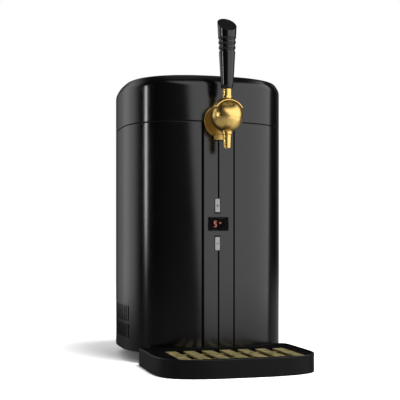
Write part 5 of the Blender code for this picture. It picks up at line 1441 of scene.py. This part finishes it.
@dataclass(frozen=True)
class Lever(SubAssembly):
    """The hooded lever over the ball and its turned black handle."""

    clearance: float = 0.0012
    thickness: float = 0.0011
    front: float = 0.0118
    rear: float = 0.0150
    low: float = 0.0098
    foot: float = 0.0070
    neck: float = 0.0063
    neck_top: float = 0.3741
    stud: float = 0.0030
    stud_height: float = 0.012
    stem: float = 0.0026
    stem_drop: float = 0.0062
    eye: float = 0.0036
    eye_half: float = 0.003
    base_radius: float = 0.0076
    foot_radius: float = 0.0086
    foot_height: float = 0.0050
    top_radius: float = 0.0136
    top_z: float = 0.4717
    cut_angle: float = math.radians(39.2)
    notch_z: float = 0.4258
    notch_pitch: float = 0.0070
    notch_count: int = 3
    notch_depth: float = 0.0012
    notch_half: float = 0.0015
    edge: float = 0.0007
    shutter_half: float = 0.0046
    shutter_angle: float = math.radians(51.0)
    shutter_root: float = math.radians(22.0)

    def shutter(self) -> Skin:
        """Builds the tongue that closes the ball's slot, thicker under the hood.

        Its points are r (s, -sin a, cos a), with r a little over the ball's radius.

        Returns:
            The closed tongue.
        """
        angle = np.linspace(0.0, self.shutter_angle, 40)[:, None]
        share = np.array((-1, -0.95, -0.5, 0, 0.5, 0.95, 1))[None, :]
        end = np.clip((self.shutter_angle - angle) / 0.12, 0, 1)
        half = self.shutter_half * np.sqrt(1 - (1 - end) ** 2 * 0.75)
        root = np.clip((self.shutter_root - angle) / 0.05, 0, 1)
        inner = BALL_RADIUS + 0.0003 + 0 * angle
        outer = BALL_RADIUS + 0.0007 + root * (self.clearance - 0.0003)
        faces = []
        for radius, order in ((outer, 1), (inner, -1)):
            across = (share * half)[:, ::order]
            ring = np.sqrt(radius ** 2 - across ** 2)
            faces.append(np.stack((across, -ring * np.sin(angle), ring * np.cos(angle)), axis=-1))
        return loft(np.concatenate(faces, axis=1) + np.array((0, BALL_Y, BALL_Z)))

    def hood(self) -> Skin:
        """Builds the hood: at each y its section is the arc x = r sin(t a), z = r cos(t a) of a sphere.

        Returns:
            The closed strap of the hood.
        """
        inner = BALL_RADIUS + self.clearance
        y = np.linspace(-self.front, self.rear, 41)[:, None]
        share = np.linspace(-1, 1, 65)[None, :]
        faces = []
        for radius in (inner + self.thickness, inner):
            ring = np.sqrt(radius ** 2 - y ** 2)
            angle = share * np.arccos(np.clip(self.low / ring, -1, 1))
            faces.append(np.stack((ring * np.sin(angle), y + 0 * angle, ring * np.cos(angle)), axis=-1))
        sections = np.concatenate((faces[0], faces[1][:, ::-1]), axis=1)
        return loft(sections + np.array((0, BALL_Y, BALL_Z)))

    def radius_at(self, level: Array) -> Array:
        """Handle radius: a straight taper less a smooth dip exp(-(d / half width)^4) at each notch.

        Args:
            level: Heights.

        Returns:
            The radius at each height.
        """
        foot = self.neck_top + GAP + self.foot_height
        taper = self.foot_radius + (self.top_radius - self.foot_radius) * (level - foot) / (self.top_z - foot)
        below = np.clip((foot - level) / self.foot_height, 0, 1)
        radius = taper - (self.foot_radius - self.base_radius) * below ** 1.6
        centres = self.notch_z + self.notch_pitch * np.arange(self.notch_count)
        dips = np.exp(-((level[..., None] - centres) / self.notch_half) ** 4).sum(axis=-1)
        return radius - self.notch_depth * dips

    def handle(self) -> Skin:
        """Builds the handle: the side rises to the oblique cut, a quarter round leads over to the flat top.

        Returns:
            The closed handle with its stud hole.
        """
        low = self.neck_top + GAP
        angle = np.linspace(0, math.tau, 112, endpoint=False)[None, :]
        slope = math.tan(self.cut_angle)
        rise = self.top_z - self.radius_at(np.array([self.top_z]))[0] * slope

        def plane(radius: Array) -> Array:
            """Height of the oblique cut at each angle: a straight rise towards the rear."""
            return rise + radius * np.sin(angle) * slope

        def rings(radius: Array, level: Array) -> Array:
            """Points of the given radii and heights at each angle."""
            return np.stack((radius * np.cos(angle), radius * np.sin(angle), level + 0 * angle), axis=-1)

        top = np.full(angle.shape, self.top_z - 0.01)
        for _ in range(12):
            top = plane(self.radius_at(top))
        share = np.linspace(0, 1, 150)[:, None]
        level = low + share * (top - self.edge - low)
        turn = np.linspace(0, math.pi / 2, 7)[1:, None]
        wide = self.radius_at(top) - self.edge * (1 - np.cos(turn))
        flat = wide[-1:] * np.array((0.97, 0.7, 0.35, 0.0))[:, None]
        hole_top = low + self.stud_height + 0.0008
        hole = np.array(((0, hole_top), (self.stud + GAP, hole_top), (self.stud + GAP, low),
                         (self.base_radius - 0.0006, low)))
        layers = (
            rings(hole[:, :1], hole[:, 1:]),
            rings(self.radius_at(level), level)[1:],
            rings(wide, plane(wide) - self.edge * (1 - np.sin(turn))),
            rings(flat, plane(flat)),
        )
        return loft(np.concatenate(layers) + np.array((0, BALL_Y, 0)))

    def build(self) -> None:
        """Makes the lever with neck, stem and eye, then the handle."""
        spot = (0, BALL_Y, 0)
        centre = (0, BALL_Y, BALL_Z)
        item = mesh_piece("hooded_lever", self.hood())
        ease_edges(item, 0.00045, 4)
        outer = BALL_Z + BALL_RADIUS + self.clearance + self.thickness
        stud_top = self.neck_top + self.stud_height
        corners = (
            (0, outer - 0.0007), (self.foot, outer - 0.0007), (self.foot * 0.93, outer + 0.0010),
            (self.neck, outer + 0.0030), (self.neck, self.neck_top), (self.stud, self.neck_top),
            (self.stud, stud_top), (0, stud_top),
        )
        joined = (
            self.shutter(),
            turned(soften(corners, 0.0006), spot, Axis.UP, 80),
            rod(self.stem, BALL_Z - self.stem_drop, outer, spot, Axis.UP, 32),
            rod(self.eye, -self.eye_half, self.eye_half, centre, Axis.ACROSS, 40),
        )
        for skin in joined:
            carve(item, skin, how=Carve.ADD)
        carve(item, rod(PIN_BORE, -0.02, 0.02, centre, Axis.ACROSS, 40))
        self.wardrobe.dress(item, Finishes.TAP_GOLD, Body.LEVER, "tap_lever", smooth=38.0)
        grip = mesh_piece("turned_handle", self.handle())
        self.wardrobe.dress(grip, Finishes.HANDLE_BLACK, Body.LEVER, "tap_handle", smooth=40.0)


# Control panel


@dataclass(frozen=True)
class ControlPanel(SubAssembly):
    """Display window, lit temperature and the two push buttons."""

    centre_x: float = -0.0009
    centre_z: float = 0.1942
    half_width: float = 0.0149
    half_height: float = 0.0096
    corner: float = 0.0022
    recess: float = 0.0010
    window: float = 0.0016
    mask_room: float = 0.0003
    mask_rear: float = 0.0052
    plus_z: float = 0.2196
    minus_z: float = 0.1671
    button_x: float = -0.0020
    button_half_width: float = 0.0033
    button_half_height: float = 0.0091
    button_corner: float = 0.0008
    button_proud: float = 0.0005
    button_rear: float = 0.0052
    collar: float = 0.0012
    sign: float = 0.0019
    sign_half: float = 0.0005
    # Depth of the signs, and front and rear of the ink in them
    sign_depth: float = 0.0003
    ink: tuple[float, float] = (0.00012, 0.00034)
    digit_x: float = -0.0040
    digit_slant: float = 0.10
    segment_across: float = 0.0015
    segment_up: float = 0.0019
    segment_half: float = 0.00036
    # Place across and up from the display's middle, and radius, of the degree ring, and its thickness
    degree: Place = (0.0028, 0.0014, 0.0010)
    degree_thickness: float = 0.0004

    def display(self) -> None:
        """Makes the smoked window, the dark mask behind it and the lit characters on the mask."""
        face = FRONT_Y + self.recess
        wide, tall = self.half_width - GAP, self.half_height - GAP
        edge = soften(((0.0003, 0), (0, 0), (0, self.window), (0.0003, self.window)), 0.0003)
        pane = slab(wide, tall, self.corner, edge, (self.centre_x, face, self.centre_z), Axis.ALONG)
        item = mesh_piece("smoked_pane", pane)
        self.wardrobe.dress(item, Finishes.SMOKED_GLASS, Body.HOUSING, "display_window")
        front = face + self.window + GAP + self.mask_room
        flat = ((0, 0), (0, FRONT_Y + WALL + self.mask_rear - front))
        mask = slab(wide, tall, self.corner, flat, (self.centre_x, front, self.centre_z), Axis.ALONG)
        self.wardrobe.dress(mesh_piece("display_mask", mask), Finishes.LED_FACE, Body.HOUSING, "led_display")
        digits = mesh_piece("lit_temperature", *self.characters(front))
        self.wardrobe.dress(digits, Finishes.LED_SEGMENT, Body.HOUSING, "led_display")

    def characters(self, front: float) -> list[Skin]:
        """Gives the five bars of the figure 5 as long hexagons, and the degree ring.

        Args:
            front: Front of the mask behind them.

        Returns:
            One surface for each.
        """
        across, up, wide = self.segment_across, self.segment_up, self.segment_half
        bars = ((self.digit_x, 2, True), (self.digit_x, 0, True), (self.digit_x, -2, True),
                (self.digit_x - across, 1, False), (self.digit_x + across, -1, False))
        level = (front - 0.0003, front - 0.00005)
        skins = []
        for x, step, level_bar in bars:
            long = (across if level_bar else up) - 0.0002
            shape = np.array(((-long, 0), (-long + wide, -wide), (long - wide, -wide), (long, 0),
                              (long - wide, wide), (-long + wide, wide)))
            if not level_bar:
                shape = shape[:, ::-1]
            flat = shape + (x, self.centre_z + step * up)
            flat[:, 0] += (flat[:, 1] - self.centre_z) * self.digit_slant
            skins.append(loft(np.stack([np.insert(flat, 1, depth, axis=1) for depth in level])))
        x, z, radius = self.degree
        inner = radius - self.degree_thickness
        ring = ((inner, level[0]), (radius, level[0]), (radius, level[1]), (inner, level[1]))
        skins.append(turned(ring, (x, 0, self.centre_z + z), Axis.ALONG, 40, looped=True))
        return skins

    def sign_bar(self, half_x: float, half_z: float, level: float, sides: tuple[float, float]) -> Skin:
        """Builds one bar of a sign.

        Args:
            half_x: Half its width.
            half_z: Half its height.
            level: Height of its middle.
            sides: Its front and its rear, from the button's face.

        Returns:
            The closed bar.
        """
        face = FRONT_Y - self.button_proud
        return box((self.button_x - half_x, face + sides[0], level - half_z),
                   (self.button_x + half_x, face + sides[1], level + half_z))

    def button(self, body: Body, level: float, node: str) -> None:
        """Makes one button with its lip, its sunk sign and the ink in it; the lip is black, painted shade in
        the gap round the cap.

        Args:
            body: The body that it rides on; PLUS has an upright bar in its sign.
            level: Height of its middle.
            node: The node that it replaces.
        """
        half_width, half_height, corner = self.button_half_width, self.button_half_height, self.button_corner
        deep = self.button_rear + self.button_proud
        edge = soften(((0.0004, 0), (0, 0), (0, deep), (0.0002, deep)), 0.0004)
        middle = (self.button_x, FRONT_Y - self.button_proud, level)
        item = mesh_piece(node + "_cap", slab(half_width, half_height, corner, edge, middle, Axis.ALONG))
        # The lip behind the wall is black so that the gap round the cap shows painted shade
        lip = np.array(((0, 0), (0, self.collar)))
        spot = (self.button_x, FRONT_Y + WALL + GAP, level)
        ring = slab(half_width + self.collar, half_height + self.collar, corner, lip, spot, Axis.ALONG)
        collar = mesh_piece(node + "_painted_shade_lip", ring)
        through = lip * (1, 3) - (0, self.collar)
        carve(collar, slab(half_width, half_height, corner, through, spot, Axis.ALONG))
        self.wardrobe.dress(collar, Finishes.PAINTED_SHADE_BLACK, body, node)
        bars = [(self.sign, self.sign_half)]
        if body is Body.PLUS:
            bars.append((self.sign_half, self.sign))
        ink = []
        for half_x, half_z in bars:
            carve(item, self.sign_bar(half_x, half_z, level, (-0.001, self.sign_depth)))
            ink.append(self.sign_bar(half_x - TINY, half_z - TINY, level, self.ink))
        self.wardrobe.dress(item, Finishes.BUTTON_GREY, body, node)
        self.wardrobe.dress(mesh_piece(node + "_sign", *ink), Finishes.SIGN_GREY, body)

    def build(self) -> None:
        """Makes the display and both buttons."""
        self.display()
        self.button(Body.PLUS, self.plus_z, "plus_button")
        self.button(Body.MINUS, self.minus_z, "minus_button")


# Tray


@dataclass(frozen=True)
class DripTray(SubAssembly):
    """The drip tray, its grille frame and the gilded bars."""

    half_width: float = 0.1085
    side_y: float = -0.0893
    front_reach: float = 0.1371
    width_power: float = 2.98
    front_power: float = 6.94
    rear_y: float = -0.0750
    rear_corner: float = 0.0100
    height: float = 0.0242
    edge: float = 0.0007
    body_gap: float = 0.0008
    tongue_half: float = 0.0450
    tongue_length: float = 0.0300
    tongue_z: tuple[float, float] = (0.0040, 0.0147)
    grille_top: float = 0.0228
    grille_thickness: float = 0.0020
    bar_count: int = 7
    bar_pitch: float = 0.0253
    bar_width: float = 0.0150
    bar_front: float = -0.2055
    bar_rear: float = -0.1205
    bar_shift: float = 0.0025
    rail_width: float = 0.006
    rail_height: float = 0.003
    rail_reach: float = 0.005
    # How far behind the bars' front ends, and in front of their rear ends, the rails start
    rail_front: float = 0.014
    rail_rear: float = 0.020
    post_x: float = 0.0935
    posts_y: tuple[float, float] = (-0.1700, -0.1020)
    post_radius: float = 0.0050
    post_foot: float = 0.0015

    def outline(self) -> Array:
        """Gives the plan anticlockwise: a superellipse front, straight sides, small round corners behind.

        Returns:
            Pairs of x and y.
        """
        angle = np.linspace(0, math.pi / 2, 300)
        across = self.half_width * np.sin(angle) ** (2 / self.width_power)
        reach = self.front_reach * np.cos(angle) ** (2 / self.front_power)
        front = np.column_stack((across, self.side_y - reach))
        turn = np.linspace(0, math.pi / 2, 24)
        corner = np.column_stack((self.half_width - self.rear_corner + self.rear_corner * np.cos(turn),
                                  self.rear_y - self.rear_corner + self.rear_corner * np.sin(turn)))
        right = np.vstack((front, corner, ((0, self.rear_y),)))
        return even_line(np.vstack((right, right[::-1][1:-1] * (-1, 1))), 420)

    def solid(self, profile: Line) -> Skin:
        """Gives the plan as a solid with its rings moved in and placed by the profile."""
        points = self.outline()
        return loft(stacked(points, inward(points), held(profile)))

    def behind(self, room: float) -> Skin:
        """Gives the space of the housing and of some room round it."""
        return loft(stacked(FINE_OUTLINE, FINE_INWARD, ((-room, -0.02), (-room, 0.2))))

    def tray(self) -> None:
        """Makes the tray with its rolled rim, basin, tongue and posts."""
        half = self.height / 2
        rim = soften(((0.004, -half), (0, -half), (0, half), (0.0014, half)), self.edge * 1.4, 6)
        rim[:, 1] += half
        item = mesh_piece("tray_pan", self.solid(rim))
        carve(item, self.behind(self.body_gap))
        lip = WALL - 0.0006
        wall = ((WALL + 0.0030, WALL), (WALL + 0.0009, WALL + 0.0005), (WALL, WALL + 0.0030),
                (WALL, self.height - 0.0006), (lip, self.height + 0.0001), (lip, 0.05))
        basin = mesh_piece("basin", self.solid(wall))
        carve(basin, self.behind(self.body_gap + WALL))
        combine(item, basin, Carve.CUT)
        front = FRONT_Y - self.body_gap - WALL / 2
        low, high = self.tongue_z
        tongue = box((-self.tongue_half, front, low),
                     (self.tongue_half, front + self.tongue_length, high), 0.0006)
        carve(item, tongue, how=Carve.ADD)
        post_top = self.grille_top - self.grille_thickness - GAP
        radius, foot = self.post_radius, self.post_foot
        post = soften(((0, foot), (radius, foot), (radius, post_top), (0, post_top)), 0.0005)
        posts = [turned(post, (x, y, 0), Axis.UP, 40)
                 for x in (-self.post_x, self.post_x) for y in self.posts_y]
        carve(item, *posts, how=Carve.ADD)
        self.wardrobe.dress(item, Finishes.SATIN_BLACK, Body.TRAY, "drip_tray")

    def bead(self) -> None:
        """Makes the polished bead along the rolled rim: a half round carried round the plan, open behind."""
        turn = np.linspace(-0.35, math.pi / 2 + 0.35, 9)
        radius = self.edge * 0.75
        arc = np.column_stack((radius - radius * np.cos(turn), self.height - radius + radius * np.sin(turn)))
        foot = ((0.0009, self.height - 0.0002), (0.0005, self.height - 0.0010))
        profile = np.vstack((arc - (0.00008, -0.00006), foot))
        points = self.outline()
        bead = mesh_piece("polished_bead", loft(stacked(points, inward(points), profile), looped=True))
        carve(bead, self.behind(self.body_gap))
        self.wardrobe.dress(bead, Finishes.HANDLE_BLACK, Body.TRAY, "drip_tray", smooth=50.0)

    def grille(self) -> None:
        """Makes the black frame and the seven bars on their two rails."""
        inset = WALL + GAP
        low, top = self.grille_top - self.grille_thickness, self.grille_top
        rim = soften(((inset + 0.001, low), (inset, low), (inset, top), (inset + 0.001, top)), 0.0004)
        item = mesh_piece("grille_surround", self.solid(rim))
        carve(item, self.behind(self.body_gap + inset))
        span = (self.bar_count - 1) / 2 * self.bar_pitch + self.bar_width / 2
        reach = (self.bar_rear - self.bar_front) / 2
        middle_y = (self.bar_front + self.bar_rear) / 2
        window = slab(span + GAP, reach + GAP, 0.0004, ((0, -0.02), (0, 0.02)),
                      (self.bar_shift, middle_y, 0.02), Axis.UP)
        carve(item, window)
        self.wardrobe.dress(item, Finishes.FRAME_BLACK, Body.GRILLE, "grille_frame")
        left, right = self.bar_shift - span, self.bar_shift + span
        edge = soften(((0.0002, low - 0.0006), (0, low - 0.0006), (0, top), (0.0006, top)), 0.0005)
        bars = []
        for index in range(self.bar_count):
            x = left + self.bar_width / 2 + index * self.bar_pitch
            bars.append(slab(self.bar_width / 2, reach, 0.0008, edge, (x, middle_y, 0), Axis.UP))
        item = mesh_piece("gilded_bars", *bars)
        rail_top = low - GAP
        rails = [box((left - self.rail_reach, y, rail_top - self.rail_height),
                     (right + self.rail_reach, y + self.rail_width, rail_top), 0.0003)
                 for y in (self.bar_front + self.rail_front, self.bar_rear - self.rail_rear)]
        carve(item, *rails, how=Carve.ADD)
        self.wardrobe.dress(item, Finishes.GRILLE_GOLD, Body.GRILLE, "grille_bars")

    def build(self) -> None:
        """Makes the tray, its bead and the grille."""
        self.tray()
        self.bead()
        self.grille()


# Inner pieces


@dataclass(frozen=True)
class InnerWorks(SubAssembly):
    """The nodes whose shape stays, with eased edges where they show."""

    refined: tuple[tuple[str, Body, float], ...] = (
        ("hinge_bracket", Body.HOUSING, 0.0004),
        ("hinge_leaf", Body.LID, 0.0004),
        ("inlet_housing", Body.HOUSING, 0.0005),
        ("power_rocker", Body.ROCKER, 0.0004),
    )
    painted: tuple[tuple[Finishes, str], ...] = (
        (Finishes.MATT_BLACK,
         "base_plate power_supply fan_frame fan_shroud fan_rotor plus_switch minus_switch"),
        (Finishes.ALUMINIUM, "inner_liner cold_block heat_sink"),
        (Finishes.STEEL, "tap_bracket lever_pin hinge_pin valve_plunger"),
        (Finishes.BRASS, "inlet_pins shank_nut shank_elbow"),
        (Finishes.SATIN_BLACK, "top_deck keg_coupler"),
        (Finishes.FOAM, "insulation"),
        (Finishes.RUBBER, "lid_gasket"),
        (Finishes.CERAMIC, "peltier_module"),
        (Finishes.BOARD_GREEN, "control_board"),
        (Finishes.TAP_GOLD, "tap_shank"),
        (Finishes.HOSE, "beer_line"),
        (Finishes.LINER_GREY, "lid_lining"),
    )

    def build(self) -> None:
        """Eases and dresses each of them."""
        for name, body, edge in self.refined:
            self.wardrobe.refine(name, Finishes.MATT_BLACK, body, edge)
        for finish, names in self.painted:
            for name in names.split():
                self.wardrobe.paint(name, finish)


# Studio


@dataclass(frozen=True)
class SoftBox:
    """A pale area of the surround as gloss sees it, in degrees of azimuth and height.

    The azimuth is 0 in front and grows to the right. Start and end are the sides: azimuth, half blur and
    lean with height. Low is the foot: height, half blur and the share of brightness that is left below.
    High is the head: height and half blur.
    """

    level: float
    start: tuple[float, float, float]
    end: tuple[float, float, float]
    low: tuple[float, float, float]
    high: tuple[float, float]

    def shine(self, bench: NodeBench, azimuth: Socket, height: Socket) -> Socket:
        """Places the nodes of its brightness.

        Args:
            bench: The surround's bench.
            azimuth: Degrees round the machine.
            height: Degrees above the horizon.

        Returns:
            The brightness: the level times a smooth step at each leaning side, at the foot and at the head.
        """
        sides = []
        for (place, blur, lean), ends in ((self.start, (0, self.level)), (self.end, (1, 0))):
            leaning = bench.plus(azimuth, bench.times(height, lean))
            sides.append(bench.span(leaning, place - blur, place + blur, *ends))
        place, blur, share = self.low
        foot = bench.span(height, place - blur, place + blur, share, 1)
        place, blur = self.high
        head = bench.span(height, place - blur, place + blur, 1, 0)
        return bench.times(bench.times(*sides), bench.times(foot, head))


@dataclass(frozen=True)
class Studio:
    """Pale floor, a high soft lamp, an even surround and the soft boxes that the gloss shows."""

    floor_radius: float = 2.4
    floor_rings: int = 12
    floor_sides: int = 96
    floor_tone: float = 0.80
    floor_camera_tone: float = 1.75
    ambient: float = 0.45
    key_power: float = 37.0
    key_place: Place = (0.38, -0.48, 1.95)
    key_aim: Place = (0.0, 0.0, 0.15)
    key_size: float = 1.0
    rest: float = 0.02
    boxes: tuple[SoftBox, ...] = (
        SoftBox(1.66, (0.8, 4.0, 1.05), (89.6, 3.8, -0.45), (-5.1, 1.7, 0.22), (45, 11)),
        SoftBox(1.50, (-4, 12, 0.0), (91, 8, 0.0), (-20, 3, 0.0), (-9.5, 1.5)),
        SoftBox(0.40, (-12, 20, 0.0), (110, 20, 0.0), (-100, 5, 0.0), (-20, 3)),
        SoftBox(0.17, (-110, 20, 0.0), (-12, 20, 0.0), (-100, 5, 0.0), (-10, 3)),
        SoftBox(14.5, (-88.9, 1.6, 0.0), (-84.2, 1.6, 0.0), (0.3, 3.0, 0.0), (14, 4)),
        SoftBox(1.04, (-160, 24, 0.0), (-111, 14, 0.0), (-4.4, 0.5, 0.1), (40, 14)),
        SoftBox(0.20, (97, 5, 0.0), (150, 15, 0.0), (-9, 2, 0.0), (-2.6, 1.2)),
        SoftBox(0.09, (-112, 12, 0.0), (2, 10, 0.0), (-9, 2, 0.0), (-3.6, 1.2)),
        SoftBox(0.06, (-40, 30, 0.0), (100, 10, 0.0), (-60, 10, 0.0), (60, 10)),
        SoftBox(0.08, (128, 10, 0.0), (172, 8, 0.0), (-60, 10, 0.0), (60, 10)),
    )
    # Brightness of the top and of the ground, with the heights between which each sets in
    zenith: tuple[float, float, float] = (0.31, 62.0, 75.0)
    ground: tuple[float, float, float] = (0.24, -4.0, -32.0)

    def floor(self) -> None:
        """Makes the floor: a disc, ring k of n at radius R k / n, white to the camera outside shadows."""
        angle = np.linspace(0, math.tau, self.floor_sides, endpoint=False)[None, :]
        radius = np.linspace(0.0, self.floor_radius, self.floor_rings)[:, None]
        rings = np.stack((radius * np.cos(angle), radius * np.sin(angle), 0 * radius * angle), axis=-1)
        mesh = bpy.data.meshes.new("studio_floor")
        faces = grid_faces(self.floor_rings, self.floor_sides, False)
        mesh.from_pydata(rings.reshape(-1, 3).tolist(), [], faces.tolist())
        item = bpy.data.objects.new("studio_floor", mesh)
        item.visible_glossy = False
        bpy.context.scene.collection.objects.link(item)
        material, bench, _ = fresh_material("pale_floor")
        tone = bench.span(self.seen(bench), 0.0, 1.0, self.floor_tone, self.floor_camera_tone)
        matt = bench.wired("ShaderNodeBsdfDiffuse", (tone,))
        bench.node("ShaderNodeOutputMaterial", Surface=matt)
        mesh.materials.append(material)

    def seen(self, bench: NodeBench) -> Socket:
        """Gives 1 for what the camera sees, straight or through glass."""
        path = bench.node("ShaderNodeLightPath").outputs
        return bench.maths("MAXIMUM", path["Is Camera Ray"], path["Is Transmission Ray"])

    def shine(self, bench: NodeBench) -> Socket:
        """Places the nodes of what gloss sees: the boxes, a faint rest, a pale top and a dim ground.

        Args:
            bench: The surround's bench.

        Returns:
            The brightness.
        """
        way = bench.node("ShaderNodeTexCoord").outputs["Generated"]
        x, y, z = bench.node("ShaderNodeSeparateXYZ", Vector=way).outputs
        azimuth = bench.times(bench.maths("ARCTAN2", x, bench.times(y, -1.0)), 180 / math.pi)
        height = bench.times(bench.maths("ARCSINE", z), 180 / math.pi)
        level, low, high = self.zenith
        total = bench.span(height, low, high, self.rest, level)
        level, high, low = self.ground
        total = bench.plus(total, bench.span(bench.times(height, -1.0), -high, -low, 0.0, level))
        for soft_box in self.boxes:
            total = bench.plus(total, soft_box.shine(bench, azimuth, height))
        return total

    def surround(self) -> None:
        """Makes the surround: white to the camera, the soft boxes to gloss, even to matt surfaces."""
        world = bpy.data.worlds.new("studio")
        bpy.context.scene.world = world
        world.use_nodes = True
        bench = NodeBench(world.node_tree)
        gloss, even, white = [
            bench.node("ShaderNodeBackground", Color=grey(1.0), Strength=strength).outputs[0]
            for strength in (self.shine(bench), self.ambient, 1.0)
        ]
        light = bench.mix(bench.node("ShaderNodeLightPath").outputs["Is Glossy Ray"], even, gloss)
        bench.node("ShaderNodeOutputWorld", Surface=bench.mix(self.seen(bench), light, white))

    def key(self) -> None:
        """Hangs the lamp high in front on the right, aimed at the machine."""
        lamp = bpy.data.lights.new("key_lamp", "AREA")
        lamp.shape = "DISK"
        lamp.size = self.key_size
        lamp.energy = self.key_power
        item = bpy.data.objects.new("key_lamp", lamp)
        item.location = self.key_place
        x, y, z = np.array(self.key_aim) - np.array(self.key_place)
        item.rotation_euler = (math.atan2(math.hypot(x, y), -z), 0.0, math.atan2(-x, y))
        item.visible_glossy = False
        bpy.context.scene.collection.objects.link(item)

    def build(self) -> None:
        """Sets up floor, surround and lamp."""
        self.floor()
        self.surround()
        self.key()


@dataclass(frozen=True)
class CameraRig:
    """The camera at the photograph's angle."""

    place: Place = (-0.3594, -1.2541, 0.17072)
    turn: float = math.radians(-15.72)
    focal: float = 895.0
    horizon: float = 240.99
    frame: float = 400.0
    sensor: float = 36.0

    def build(self) -> None:
        """Makes the camera: level, with an upward shift that places the horizon."""
        lens = bpy.data.cameras.new("camera")
        lens.sensor_width = self.sensor
        lens.lens = self.focal / self.frame * self.sensor
        lens.shift_y = (self.horizon - self.frame / 2) / self.frame
        item = bpy.data.objects.new("camera", lens)
        item.location = self.place
        item.rotation_euler = (math.pi / 2, 0.0, self.turn)
        bpy.context.scene.collection.objects.link(item)
        bpy.context.scene.camera = item


def main() -> None:
    """Loads the frame, dresses every part of it and sets up the studio."""
    logging.basicConfig(level=logging.INFO, format="%(message)s")
    for item in list(bpy.data.objects):
        bpy.data.objects.remove(item, do_unlink=True)
    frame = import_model()
    wardrobe = Wardrobe(frame["nodes"])
    CameraRig().build()
    for part in (HousingShell, RearPanel, Feet, Lid, Tap, Lever, ControlPanel, DripTray, InnerWorks):
        LOG.info("%s:", part.__name__)
        part(wardrobe).build()
    Studio().build()
    bpy.context.scene.view_settings.view_transform = "Standard"


if __name__ == "__main__":
    main()
